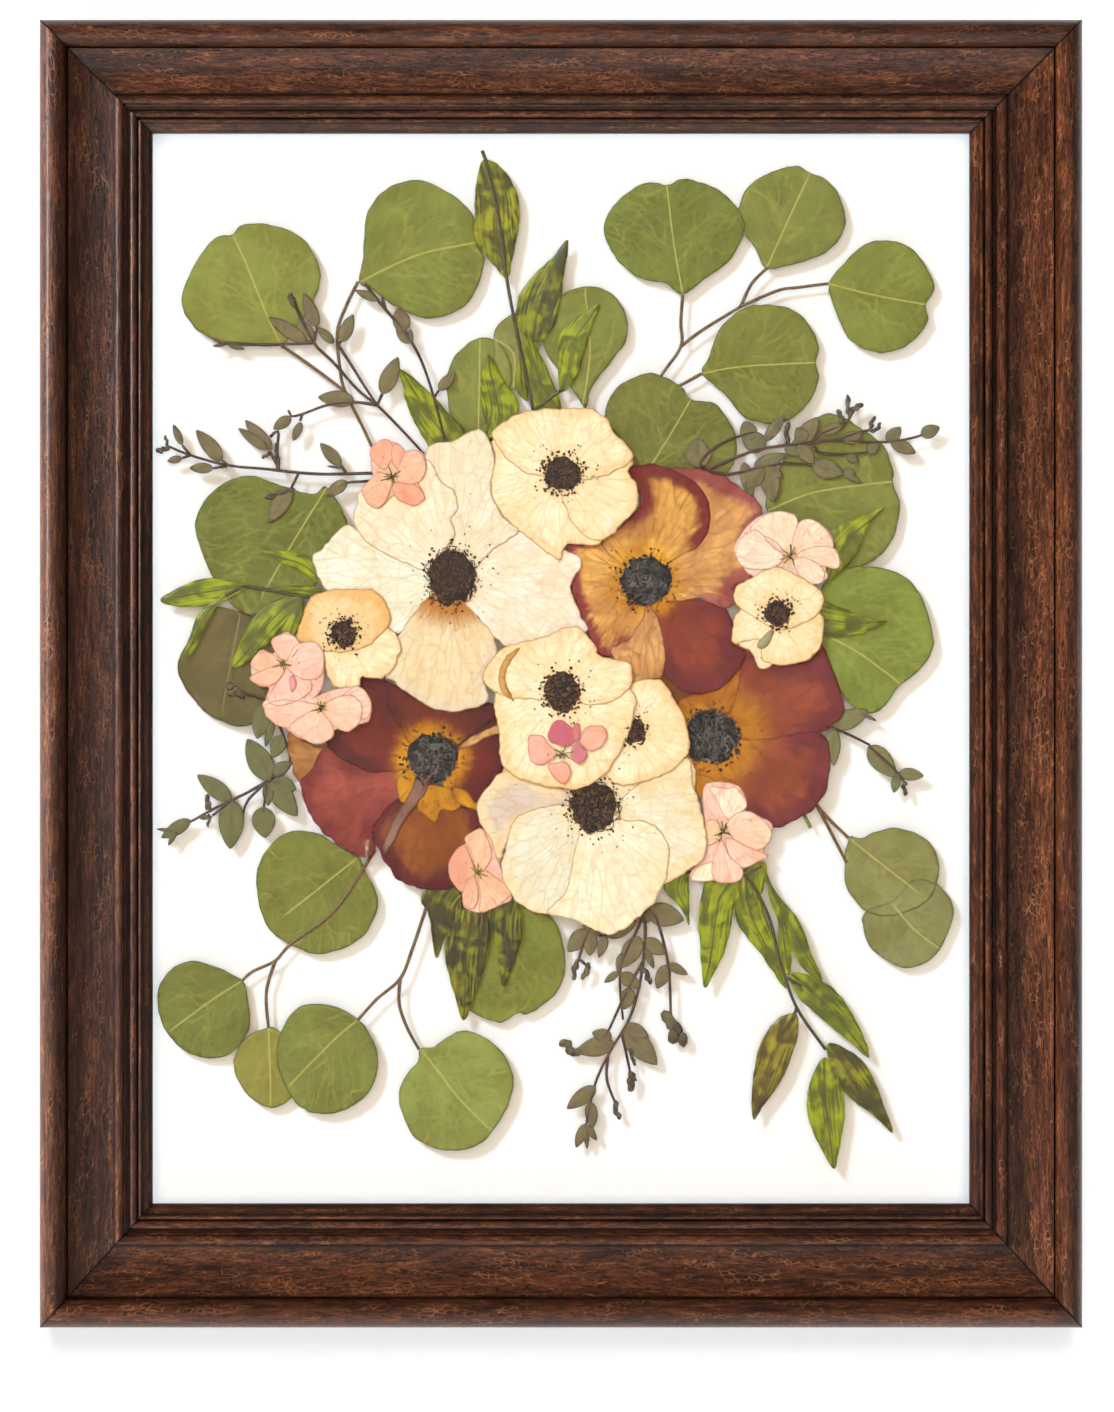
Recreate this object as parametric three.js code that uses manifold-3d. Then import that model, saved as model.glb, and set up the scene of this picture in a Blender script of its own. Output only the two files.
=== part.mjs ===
// Pressed flower frame: four mitred lengths of stained moulding hold two panes of glass, with a
// bouquet of pressed flowers and leaves between them and a white-faced board behind.
// Millimetres. +X is right, +Z is up, and the front looks towards -Y.
import * as THREE from "three";
import { mergeVertices } from "three/addons/utils/BufferGeometryUtils.js";
import Module from "manifold-3d";

// Driving dimensions
const SIGHT_WIDTH = 266;
const SIGHT_HEIGHT = 348.5;
const RAIL_WIDTH = 36;
const BOTTOM_RAIL_WIDTH = 39.5;
const FRAME_DEPTH = 28;
const RABBET_WIDTH = 6.5;
const RABBET_DEPTH = 16.3;
const MITRE_GAP = 0.3;
const FIT_GAP = 0.3;
const BOARD_FROM_BACK = 1.5;
const BOARD_THICKNESS = 3;
const BACK_GLASS_THICKNESS = 3;
const FRONT_GLASS_THICKNESS = 2;
const SPACER_WIDTH = 4;
const SPACER_INSET = 0.8;
const LEAF_THICKNESS = 0.32;
const LAYER_PITCH = 0.62;
const TWIG_WIDTH = 1;
const DISC_HEIGHT = 0.2;
const BUMPER_RADIUS = 5;
const BUMPER_HEIGHT = 2.7;
const BUMPER_INSET = 15;
const HANGER_LENGTH = 45;
const HANGER_HEIGHT = 10;
const HANGER_THICKNESS = 0.8;
const HANGER_RISE = 1.6;
const HANGER_TOOTH_PITCH = 2.5;
const HANGER_TEETH = 10;
const FLEX_POINT_WIDTH = 8;
const FLEX_POINT_LENGTH = 16;
const FLEX_POINT_THICKNESS = 0.6;
const FLEX_POINT_FROM_CORNER = 60;

// Heights above the back of the wood, towards the front
const BOARD_FRONT = BOARD_FROM_BACK + BOARD_THICKNESS;
const BACK_GLASS_FRONT = BOARD_FRONT + FIT_GAP + BACK_GLASS_THICKNESS;
const FIRST_LAYER = BACK_GLASS_FRONT + FIT_GAP;
const FRONT_GLASS_FRONT = RABBET_DEPTH - FIT_GAP;
const FRONT_GLASS_BACK = FRONT_GLASS_FRONT - FRONT_GLASS_THICKNESS;
const BUMPER_BACK = -FIT_GAP - BUMPER_HEIGHT;

// The origin is the middle of the whole frame's box
const OUTER_HEIGHT = SIGHT_HEIGHT + RAIL_WIDTH + BOTTOM_RAIL_WIDTH;
const SIGHT_TOP = OUTER_HEIGHT / 2 - RAIL_WIDTH;
const SIGHT_BOTTOM = BOTTOM_RAIL_WIDTH - OUTER_HEIGHT / 2;
const SIGHT_SIDE = SIGHT_WIDTH / 2;
const MIDDLE_DEPTH = (FRAME_DEPTH + BUMPER_BACK) / 2;

// Places in the photograph are pixels. Its middle is where the view is square to the glass, and
// the specimens lie a little behind the edge that the opening is measured at.
const VIEW_MIDDLE_PX = [557, 706];
const SIGHT_MIDDLE_PX = [561, 668.5];
const SIGHT_WIDTH_PX = 817;
const BEHIND_EDGE = 1.005;
const SMALLEST_LEAFLET_PX = 16;
const PIXEL = SIGHT_WIDTH / SIGHT_WIDTH_PX;
const VIEW_X = (VIEW_MIDDLE_PX[0] - SIGHT_MIDDLE_PX[0]) * PIXEL;
const VIEW_Z = (SIGHT_TOP + SIGHT_BOTTOM) / 2 + (SIGHT_MIDDLE_PX[1] - VIEW_MIDDLE_PX[1]) * PIXEL;

// Outlines in pixels, read off the photograph by eye. A key's first letter is e for eucalyptus,
// r for ruscus, and otherwise the flower's.
const EUCALYPTUS = {
  e1: 
    "281,345 262,346 225,343 195,328 181,300 194,264 214,238 232,233 243,224 270,224 303,239 " +
    "320,272 311,305 290,337",
  e2: 
    "359,282 363,257 367,213 387,188 423,180 464,203 477,228 476,242 484,262 468,302 431,318 " +
    "398,307 373,290",
  e3: 
    "683,294 665,283 633,274 610,247 604,223 618,200 645,182 667,184 688,178 724,193 745,223 " +
    "732,257 705,278",
  e4: "767,268 757,250 739,222 742,197 760,177 794,165 810,172 828,180 842,200 845,228 828,251 798,262",
  e5: "829,284 845,262 867,243 897,241 918,254 935,285 926,304 928,322 907,345 878,352 850,339 837,313",
  e6: 
    "702,373 710,355 720,328 745,307 780,305 805,318 819,345 816,362 819,378 808,403 783,422 " +
    "747,418 723,392",
  e7: "585,406 591,388 612,360 627,337 623,307 600,287 567,291 543,315 545,350 568,382",
  e9: "478,440 455,430 447,390 453,359 477,338 500,343 512,370 503,405",
  e10: 
    "640,482 611,445 605,412 618,387 650,373 680,385 691,399 717,405 737,440 728,473 695,495 " +
    "660,495",
  e11: 
    "767,511 776,478 792,442 818,417 837,414 863,429 885,447 894,472 893,481 900,505 894,537 " +
    "873,561 845,568 805,558",
  e12: 
    "812,625 822,588 845,569 888,569 918,590 934,640 922,668 901,685 880,711 858,710 840,690 " +
    "826,655",
  e13: 
    "327,487 313,494 283,486 250,476 217,487 195,519 202,553 218,588 243,613 268,612 305,592 " +
    "342,560 347,523",
  e15: "237,611 213,608 192,634 177,665 187,692 213,718 247,726 274,704 283,668 272,634 252,616",
  e16: 
    "358,857 340,847 315,833 287,833 265,852 256,880 265,924 290,945 322,954 360,939 378,905 " +
    "366,873",
  e17: "242,981 219,969 193,961 168,972 157,996 165,1031 191,1055 226,1056 248,1031 247,996",
  e18: "268,1028 246,1038 233,1064 245,1093 270,1108 293,1096 299,1060 282,1034",
  e19: "358,1020 332,1006 300,1007 280,1033 278,1069 298,1106 332,1114 367,1095 378,1059 367,1030",
  e20: 
    "420,1049 433,1047 463,1031 496,1046 513,1077 506,1110 480,1144 447,1151 415,1138 399,1103 " +
    "404,1078 418,1062",
  e21: 
    "515,905 547,914 561,935 565,968 556,994 528,1015 517,1014 500,1023 475,1014 468,1004 478,965 " +
    "487,940",
  e22: "849,838 862,838 893,828 926,839 940,868 928,901 893,916 866,911 848,890 845,868",
  e23: "895,900 866,912 864,928 872,950 895,965 913,968 938,953 954,912 940,886 915,880",
};

const RUSCUS = {
  r1: "506,278 493,264 474,239 475,217 475,190 482,161 495,162 510,178 520,210 512,262",
  r2: "568,240 564,275 557,318 545,338 530,340 517,325 515,313 523,287 552,257",
  r2b: "561,410 534,408 525,365 528,335 549,372",
  r3: "599,303 592,325 585,350 577,377 561,392 558,360 560,331 580,315",
  r4: "488,354 480,392 487,428 493,442 519,408 506,383",
  r4b: "519,355 515,387 528,400 525,370",
  r5: "400,369 403,388 410,412 432,451 455,455 465,432 448,412 422,385",
  r6: "160,600 178,588 205,578 243,584 243,590 215,604 180,607",
  r7: "183,658 191,633 200,612 225,595 208,620 195,649",
  r8: "232,669 244,633 268,603 303,596 287,622 260,651",
  r9: "261,552 290,551 312,560 326,586 297,570",
  r10: "267,590 300,585 326,590 312,597 283,592",
  r10b: "290,636 281,631 293,612 303,596 304,612 298,632",
  r11: "885,507 869,526 858,552 845,568 827,581 827,545 831,531 857,518",
  r12: "888,621 865,617 842,607 822,603 812,615 818,634 838,638 865,632",
  r13a: "436,958 429,917 421,901 427,889 458,888 462,915 446,937",
  r13b: "464,1021 455,997 446,963 446,938 462,912 475,903 490,922 488,955 475,995",
  r14: "503,987 495,948 488,925 492,906 515,897 523,930 513,965",
  r15: "704,987 700,945 698,922 702,892 710,879 737,879 734,908 727,945 714,973",
  r16: "689,925 681,909 663,886 687,870 689,895",
  r17: "786,989 761,955 740,928 734,907 738,878 752,872 764,911 779,955",
  r17b: "751,909 741,878 750,865 766,863 764,888",
  r18: "823,981 804,970 789,945 772,905 762,863 777,893 800,922 812,955",
  r18b: "790,974 781,965 778,915 783,910 791,945",
  r19: "870,1058 850,1042 820,1018 797,995 790,975 806,974 835,990 858,1025",
  r20: "753,1119 753,1080 760,1045 775,1022 795,1013 798,1035 783,1078 765,1104",
  r21: "834,1169 822,1150 810,1125 807,1098 815,1070 827,1058 841,1088 845,1112 840,1148",
  r22: "893,1133 875,1117 850,1098 834,1078 827,1045 845,1048 868,1068 884,1105",
};

const PETALS = {
  a_left: "347,525 322,549 312,559 326,590 345,600 375,620 400,633 425,603 440,580 400,552 370,540",
  a_bottom: 
    "400,633 425,600 455,585 487,620 497,655 485,675 488,701 460,711 430,707 393,682 386,676 " +
    "390,650",
  a_right: 
    "482,554 520,530 545,545 577,555 581,567 571,586 580,613 587,632 545,642 510,648 480,620 " +
    "460,590",
  a_top: "425,455 455,440 481,430 495,460 491,492 507,520 520,530 497,547 455,580 430,540",
  a_front: 
    "361,490 385,470 425,458 442,483 455,492 458,509 452,520 455,533 446,552 445,580 410,565 " +
    "370,545 354,522 357,505",
  b_low: "493,440 495,460 491,492 507,520 535,543 560,560 568,545 601,542 600,500 562,465 520,440",
  b_right: "632,460 628,472 637,487 638,507 621,525 610,537 593,540 570,520 560,470 600,450",
  b_top: 
    "493,438 510,418 533,410 562,409 590,409 608,420 614,434 625,443 632,460 600,478 562,480 " +
    "520,470",
  c_low: "498,690 499,729 504,767 540,785 590,785 624,745 632,690 562,670",
  c_top: 
    "482,679 499,652 520,642 543,637 575,627 595,645 598,655 622,660 632,667 628,690 600,705 " +
    "562,700 510,698",
  d_all: "628,688 642,679 662,681 677,703 686,723 690,745 683,760 663,775 620,785 600,760 608,720",
  e_top: "503,770 540,762 600,765 660,765 689,758 694,790 650,815 590,812 545,812 520,795",
  e_left: "476,806 486,790 503,772 530,775 590,806 550,820 513,835 500,862 492,842 484,830",
  e_low_left: "513,823 530,810 570,806 592,830 588,884 560,911 534,912 513,897 501,873 505,848",
  e_right: "616,810 650,775 687,758 694,787 702,812 706,852 687,871 655,884 630,850",
  e_low: 
    "600,808 624,819 650,823 666,839 669,862 663,886 650,907 612,934 572,919 548,912 566,890 " +
    "575,850 582,825",
  f_low: "298,640 320,652 333,685 359,687 362,677 385,677 400,655 395,632 370,622 330,625",
  f_top: "298,640 301,620 310,600 327,591 371,590 387,605 389,625 370,645 344,652 318,650",
  g_low: "742,608 732,626 734,644 757,640 764,661 787,665 812,657 823,635 818,612 777,600",
  g_top: "752,578 776,567 805,580 823,594 818,615 800,625 777,630 745,612 734,600 736,587",
  p1_low: 
    "640,600 660,580 670,595 700,600 724,608 733,625 734,645 747,652 735,673 717,690 688,693 " +
    "667,678 657,660",
  p1_left: "568,545 600,539 640,560 660,590 652,620 638,637 615,656 597,653 587,632 580,612 571,586",
  p1_peach: "610,651 628,640 641,620 650,603 664,640 663,675 650,680 632,682",
  p1_right: 
    "665,480 687,469 717,474 745,490 762,512 752,545 752,577 735,587 736,603 724,608 700,600 " +
    "660,590",
  p1_top: 
    "627,472 647,464 673,470 700,487 710,508 709,528 697,547 675,559 640,575 601,543 622,525 " +
    "640,500",
  p2_back: "291,729 288,750 300,783 325,775 330,745 315,746",
  p2_low: 
    "393,802 377,819 372,829 380,853 390,868 397,880 425,889 457,887 475,870 485,838 475,808 " +
    "445,790",
  p2_low_left: 
    "407,767 350,763 327,747 310,770 300,783 307,808 328,837 362,857 375,850 374,828 393,802 " +
    "415,790",
  p2_left: "361,677 387,681 389,707 412,740 425,760 407,770 365,770 325,741 340,712",
  p2_top: "387,681 410,692 450,700 487,702 499,711 487,725 462,742 440,765 415,750 389,707",
  p2_right: "440,760 455,748 492,729 500,735 504,768 485,790 475,808 450,800",
  p3_gold: "677,703 698,692 724,682 747,653 760,690 740,740 728,785 698,787 688,758 683,725",
  p3_top: "747,642 763,662 810,660 820,643 834,673 844,710 832,725 805,740 770,750 715,745 735,700",
  p3_low: "715,745 770,738 823,734 829,780 817,805 793,822 772,828 745,815 728,788",
};

const FLORETS = {
  k1: 
    "371,462 380,442 392,442 399,444 405,452 422,452 427,468 419,482 424,495 412,506 395,496 " +
    "378,509 363,492 373,479",
  k2: 
    "734,548 749,524 771,512 794,514 798,523 816,521 832,536 834,551 841,563 826,568 826,580 " +
    "790,590 752,576 742,566",
  k3: 
    "288,632 277,639 274,653 261,650 251,667 257,685 269,688 267,700 293,693 310,700 323,687 " +
    "324,663 317,650 298,641",
  k4: 
    "267,699 265,710 288,730 302,739 325,741 336,730 358,725 370,720 371,702 358,687 333,690 " +
    "310,698 293,693",
  k5: 
    "530,737 543,733 551,723 567,724 582,728 595,725 608,730 602,748 588,753 582,763 571,768 " +
    "567,781 553,782 537,768",
  k6: "483,829 465,843 453,858 450,877 462,892 464,907 481,913 500,905 512,897 501,868 495,845",
  k7: 
    "705,785 737,785 747,803 745,815 764,818 773,828 764,851 768,857 744,868 738,881 710,880 " +
    "689,877 705,850 704,822",
};

const STEMS = {
  e1: [
    "281,345 310,365 345,391",
    "358,281 347,303 337,332 340,370 345,391 365,432 374,452",
  ],
  e3: [
    "683,294 681,322 681,346 661,376 655,395",
    "681,346 702,330 741,306",
    "741,306 752,283 768,267",
    "741,306 778,290 798,287 829,283",
    "702,373 680,385 655,395",
  ],
  e7: [
    "585,404 584,420",
  ],
  e17: [
    "375,850 335,910 290,945 275,961 252,972 242,981",
    "275,961 266,992 268,1028",
  ],
  e19: [
    "427,905 412,950 400,979 377,999 358,1020",
    "400,979 399,1004 407,1028 419,1050",
  ],
  e22: [
    "817,805 832,822 849,838",
    "817,805 830,830 847,863",
  ],
  r1: [
    "482,150 488,168 499,218 507,280 519,343 528,383 533,410",
    "455,452 493,438 533,410 561,390",
  ],
  r6: [
    "243,586 270,590 312,597 327,588 316,576",
    "225,596 243,586",
  ],
  r13: [
    "462,905 500,900 515,898",
  ],
  r15: [
    "687,872 720,880 745,876 768,915 780,961 797,1008 826,1050",
    "745,876 762,866",
    "797,1008 792,1022",
    "785,977 802,986",
  ],
};

const TWIGS = {
  s1: {
    stems: [
      "297,310 314,343 333,362 358,390 377,405 400,428 424,454",
      "337,343 350,363 365,387 377,405",
      "225,343 250,344 283,344 314,343",
      "293,297 297,310",
      "317,327 314,343",
      "341,342 337,343",
      "377,405 353,402 327,405 302,414 291,416 288,410",
      "302,414 300,421",
      "382,394 377,405",
    ],
    leaves: 
      "317,327 304,293 14; 307,342 268,317 15; 312,341 298,320 16; 334,343 317,327 10; 341,342 " +
      "353,314 14; 354,400 318,397 17; 291,417 273,429 12; 301,422 293,441 9; 382,394 398,357 18; " +
      "226,344 209,337 4; 226,344 212,346 4; 228,345 245,349 5",
    buds: "293,305 292,294 10",
  },
  s2: {
    stems: [
      "373,473 325,474 293,472 267,469 227,465 190,455 168,446",
      "373,473 373,480 350,482 347,483",
      "270,437 278,431 277,453 279,469",
      "270,452 278,467",
      "298,474 291,488",
      "346,473 341,465",
      "227,465 222,460",
      "227,466 213,468",
      "190,455 182,445",
      "190,455 182,458",
    ],
    leaves: 
      "272,450 245,420 14; 268,450 238,428 11; 222,460 196,430 16; 182,445 173,424 8; 182,458 " +
      "167,461 8; 213,468 189,468 11; 341,465 320,443 13; 343,468 326,466 3; 347,481 325,496 13; " +
      "291,488 268,523 17; 222,460 208,456 5",
    buds: 
      "168,446 166,436 5; 168,447 157,450 9; 270,452 263,458 6; 277,468 277,446 6; 291,488 267,497 " +
      "8",
  },
  s3: {
    stems: [
      "365,284 386,310 405,332 421,360 434,398 446,445",
      "382,297 386,310",
      "434,397 439,390",
    ],
    leaves: 
      "405,331 397,308 18; 410,343 396,326 12; 411,343 410,328 6; 439,390 455,372 12; 378,300 " +
      "355,290 9",
    buds: "",
  },
  s4: {
    stems: [
      "707,470 742,455 766,448 813,442 836,440 881,442 907,439 922,435",
      "707,470 700,464 707,454 720,444 736,437 754,432",
      "707,470 730,474 762,467 787,463 813,465",
      "813,442 822,433 844,424 854,411",
      "836,440 864,431 873,430",
      "813,442 818,452 844,454 869,452",
    ],
    leaves: 
      "700,468 697,438 26; 752,440 744,421 18; 766,446 742,438 22; 765,441 785,414 12; 798,444 " +
      "819,417 18; 805,442 797,427 15; 822,431 844,426 12; 844,441 863,433 13; 867,452 879,444 12; " +
      "887,442 901,427 14; 891,441 916,453 14; 921,435 940,427 14; 785,446 800,455 12; 797,445 " +
      "815,464 15; 812,465 844,473 20; 847,454 859,463 10; 844,470 856,473 8; 840,471 863,483 7; " +
      "754,466 787,454 14; 764,468 783,476 14; 764,468 746,489 16; 768,465 774,502 20; 744,462 " +
      "752,500 14",
    buds: 
      "787,444 787,424 8; 844,424 839,411 9; 850,416 848,397 7; 853,412 860,403 10; 871,430 874,417 " +
      "7; 872,430 881,425 7",
  },
  s5: {
    stems: [
      "273,778 250,791 230,801 217,807 190,822",
      "267,781 248,800 243,813",
      "267,781 263,812",
      "230,801 212,816",
      "243,693 266,702 283,735 290,765 273,778",
    ],
    leaves: 
      "270,780 247,739 25; 273,775 290,762 14; 275,781 296,790 16; 270,782 297,816 22; 268,782 " +
      "268,806 12; 262,807 265,838 24; 232,800 230,849 26; 231,800 197,775 18; 190,820 161,838 14; " +
      "176,830 168,846 6; 172,831 156,829 4; 199,818 212,817 5; 265,703 257,739 20; 273,720 265,747 " +
      "8; 283,735 272,758 16",
    buds: "209,815 208,826 5; 208,811 206,796 8; 243,693 227,689 13",
  },
  s6: {
    stems: [
      "645,912 645,943 640,983 629,1020 610,1052 595,1085 586,1126",
      "645,912 635,935 629,945 620,974 623,1020",
      "643,962 627,991 610,1028 604,1039",
      "645,912 655,915 668,963 671,1017",
      "645,912 605,936 590,930 577,965",
      "580,960 588,967",
      "622,1035 627,1057 631,1077",
      "608,1057 607,1080 616,1105",
    ],
    leaves: 
      "587,930 568,952 18; 591,932 590,956 15; 600,934 583,925 14; 606,936 599,958 10; 607,937 " +
      "638,921 15; 647,911 684,920 24; 652,913 638,921 14; 640,937 622,968 20; 622,953 618,973 9; " +
      "619,972 604,983 8; 644,940 666,954 16; 645,948 654,969 8; 620,974 641,988 15; 668,965 " +
      "657,989 15; 668,964 688,975 10; 630,988 624,1010 16; 614,1043 576,1052 20; 612,1038 592,1033 " +
      "14; 623,1028 657,1065 24; 626,1025 649,1038 14; 596,1087 567,1109 16; 590,1102 593,1129 13; " +
      "586,1125 597,1141 8; 586,1124 576,1148 11; 586,1125 587,1150 6",
    buds: 
      "577,962 574,978 8; 587,964 585,978 9; 670,1014 680,1044 20; 580,1050 561,1046 15; 629,1050 " +
      "635,1064 6; 631,1074 632,1090 13; 616,1103 617,1118 9; 644,968 650,983 9",
  },
  s7: {
    stems: [
      "825,727 838,730 852,736 870,745",
      "838,730 833,725",
      "869,746 899,774 905,786",
    ],
    leaves: 
      "833,726 869,711 20; 833,727 834,766 15; 869,746 896,777 22; 899,773 924,776 13; 898,774 " +
      "894,793 10; 863,714 877,721 4",
    buds: "904,783 907,794 8",
  },
};

const DISCS = {
  flower_a: "452,577 25 29",
  flower_b: "562,474 20 18",
  flower_c: "562,692 18 21",
  flower_d: "632,731 13 13",
  flower_e: "593,806 24 26",
  flower_f: "344,634 14 14",
  flower_g: "777,613 13 13",
  flower_p1: "646,581 26 26",
  flower_p2: "432,758 26 26",
  flower_p3: "713,737 28 28",
};

const COLOURS = {
  walnut: 0x4a2e20,
  clearGlass: 0xeef3f1,
  whiteFoam: 0xf4f2ec,
  board: 0xf7f6f2,
  steel: 0xb9b7b0,
  rubber: 0x2b2a28,
  eucalyptus: 0x8a8c44,
  brownEucalyptus: 0x6b6440,
  ruscus: 0x6a7a10,
  twig: 0x66634a,
  cream: 0xfceccb,
  maroon: 0x7a3038,
  pink: 0xf8cfc0,
};

const solids = await Module();
solids.setup();
const frame = new THREE.Group();

function addPiece(name, geometry, colour, roughness, metalness = 0) {
  const finish = new THREE.MeshStandardMaterial({ color: COLOURS[colour], roughness, metalness });
  const mesh = new THREE.Mesh(geometry, finish);
  mesh.name = name;
  frame.add(mesh);
}

// Turns pixels written as "x,y x,y" into places in the plane of the glass
function readPoints(text) {
  return text.split(" ").map((pair) => {
    const [x, y] = pair.split(",").map(Number);
    return new THREE.Vector2(
      VIEW_X + (x - VIEW_MIDDLE_PX[0]) * PIXEL * BEHIND_EDGE,
      VIEW_Z + (VIEW_MIDDLE_PX[1] - y) * PIXEL * BEHIND_EDGE,
    );
  });
}

// An upright sheet: its outline lies in X and Z, and it is as thick as its front is from its back
function sheet(outline, back, front) {
  const options = { depth: front - back, bevelEnabled: false };
  const geometry = new THREE.ExtrudeGeometry(new THREE.Shape(outline), options);
  geometry.rotateX(Math.PI / 2);
  return geometry.translate(0, MIDDLE_DEPTH - back, 0);
}

function rectangle(left, right, bottom, top) {
  return [
    new THREE.Vector2(left, bottom),
    new THREE.Vector2(right, bottom),
    new THREE.Vector2(right, top),
    new THREE.Vector2(left, top),
  ];
}

function toSolid(geometry) {
  const bare = geometry.clone();
  bare.deleteAttribute("normal");
  bare.deleteAttribute("uv");
  const merged = mergeVertices(bare);
  const mesh = new solids.Mesh({
    numProp: 3,
    vertProperties: new Float32Array(merged.attributes.position.array),
    triVerts: new Uint32Array(merged.index.array),
  });
  return new solids.Manifold(mesh);
}

function toGeometry(solid) {
  const mesh = solid.getMesh();
  const geometry = new THREE.BufferGeometry();
  geometry.setAttribute("position", new THREE.BufferAttribute(mesh.vertProperties, 3));
  geometry.setIndex(new THREE.BufferAttribute(mesh.triVerts, 1));
  geometry.computeVertexNormals();
  return geometry;
}

// Frame mouldings

// The section: x runs out from the sight edge, y up from the back of the wood. A thin lip, three
// small beads with fillets between them, a wide cove and a big outer bead.
function mouldingSection() {
  const section = new THREE.Shape();
  section.moveTo(RABBET_WIDTH, 0);
  section.lineTo(RABBET_WIDTH, RABBET_DEPTH);
  section.lineTo(0, RABBET_DEPTH);
  section.lineTo(0, 17.3);
  section.lineTo(0.4, 17.9);
  section.lineTo(3, 19.2);
  section.absarc(3.8, 19.5, 0.7, Math.PI, 0, true);
  section.lineTo(4.7, 19.1);
  section.absarc(6.05, 19.4, 1.3, Math.PI, 0, true);
  section.lineTo(7.5, 19.7);
  section.lineTo(8.1, 19.9);
  section.lineTo(8.2, 19.6);
  section.lineTo(8.9, 19.9);
  section.absarc(10.6, 20.1, 1.6, Math.PI, 0, true);
  section.lineTo(12.3, 19.9);
  section.quadraticCurveTo(21, 18.9, 26.8, 23.7);
  section.lineTo(27.1, 22.8);
  section.absellipse(31.65, 23, 4.35, FRAME_DEPTH - 23, Math.PI, 0, true, 0);
  section.lineTo(RAIL_WIDTH, 0.8);
  section.lineTo(RAIL_WIDTH - 0.8, 0);
  section.closePath();
  return section;
}

// The section drawn out by 1, and then stretched between the two mitres of its rail
function addRail(name, place) {
  const options = { depth: 1, bevelEnabled: false, curveSegments: 5 };
  const geometry = new THREE.ExtrudeGeometry(mouldingSection(), options);
  const position = geometry.attributes.position;
  for (let i = 0; i < position.count; i += 1) {
    const outward = position.getX(i) / RAIL_WIDTH;
    const [x, z] = place(outward, position.getZ(i) * 2 - 1);
    position.setXYZ(i, x, MIDDLE_DEPTH - position.getY(i), z);
  }
  geometry.computeVertexNormals();
  addPiece(name, geometry, "walnut", 0.4);
}

const MITRE = MITRE_GAP / 2;
const sideX = (outward) => SIGHT_SIDE + outward * RAIL_WIDTH;
const topZ = (outward) => SIGHT_TOP + outward * RAIL_WIDTH;
const bottomZ = (outward) => SIGHT_BOTTOM - outward * BOTTOM_RAIL_WIDTH;
const sideZ = (outward, end) => (end > 0 ? topZ(outward) - MITRE : bottomZ(outward) + MITRE);

addRail("rail_top", (outward, end) => [end * (sideX(outward) - MITRE), topZ(outward)]);
addRail("rail_bottom", (outward, end) => [-end * (sideX(outward) - MITRE), bottomZ(outward)]);
addRail("rail_left", (outward, end) => [-sideX(outward), sideZ(outward, end)]);
addRail("rail_right", (outward, end) => [sideX(outward), sideZ(outward, -end)]);

// Glass, board and spacers in the rabbet

const PANE_OVERHANG = RABBET_WIDTH - FIT_GAP;

function addPane(name, back, front, colour, roughness) {
  const outline = rectangle(
    -SIGHT_SIDE - PANE_OVERHANG,
    SIGHT_SIDE + PANE_OVERHANG,
    SIGHT_BOTTOM - PANE_OVERHANG,
    SIGHT_TOP + PANE_OVERHANG,
  );
  addPiece(name, sheet(outline, back, front), colour, roughness);
}

addPane("backing_board", BOARD_FROM_BACK, BOARD_FRONT, "board", 0.9);
addPane("glass_back", BOARD_FRONT + FIT_GAP, BACK_GLASS_FRONT, "clearGlass", 0.05);
addPane("glass_front", FRONT_GLASS_BACK, FRONT_GLASS_FRONT, "clearGlass", 0.05);

function addSpacer(name, left, right, bottom, top) {
  const outline = rectangle(left, right, bottom, top);
  addPiece(name, sheet(outline, FIRST_LAYER, FRONT_GLASS_BACK - FIT_GAP), "whiteFoam", 0.8);
}

const SPACER_IN = SIGHT_SIDE + SPACER_INSET;
const SPACER_OUT = SPACER_IN + SPACER_WIDTH;
const SPACER_TOP = SIGHT_TOP + SPACER_INSET;
const SPACER_BOTTOM = SIGHT_BOTTOM - SPACER_INSET;
addSpacer("spacer_top", -SPACER_OUT, SPACER_OUT, SPACER_TOP, SPACER_TOP + SPACER_WIDTH);
addSpacer("spacer_bottom", -SPACER_OUT, SPACER_OUT, SPACER_BOTTOM - SPACER_WIDTH, SPACER_BOTTOM);
addSpacer("spacer_left", -SPACER_OUT, -SPACER_IN, SPACER_BOTTOM + FIT_GAP, SPACER_TOP - FIT_GAP);
addSpacer("spacer_right", SPACER_IN, SPACER_OUT, SPACER_BOTTOM + FIT_GAP, SPACER_TOP - FIT_GAP);

// Hardware on the back

// A steel point stands just clear of the rabbet's wall and lies flat behind the board
function addFlexPoint(name, side, z) {
  const wall = side * (SIGHT_SIDE + RABBET_WIDTH - FIT_GAP);
  const tip = wall - side * FLEX_POINT_LENGTH;
  const half = FLEX_POINT_WIDTH / 2;
  const outline = [
    new THREE.Vector2(wall, z - half),
    new THREE.Vector2(wall, z + half),
    new THREE.Vector2(tip + side * half, z + half),
    new THREE.Vector2(tip, z),
    new THREE.Vector2(tip + side * half, z - half),
  ];
  const front = BOARD_FROM_BACK - FIT_GAP;
  addPiece(name, sheet(outline, front - FLEX_POINT_THICKNESS, front), "steel", 0.35, 1);
}

const UPPER_POINT = SIGHT_TOP - FLEX_POINT_FROM_CORNER;
const LOWER_POINT = SIGHT_BOTTOM + FLEX_POINT_FROM_CORNER;
addFlexPoint("flex_point_top_left", -1, UPPER_POINT);
addFlexPoint("flex_point_top_right", 1, UPPER_POINT);
addFlexPoint("flex_point_bottom_left", -1, LOWER_POINT);
addFlexPoint("flex_point_bottom_right", 1, LOWER_POINT);

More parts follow.
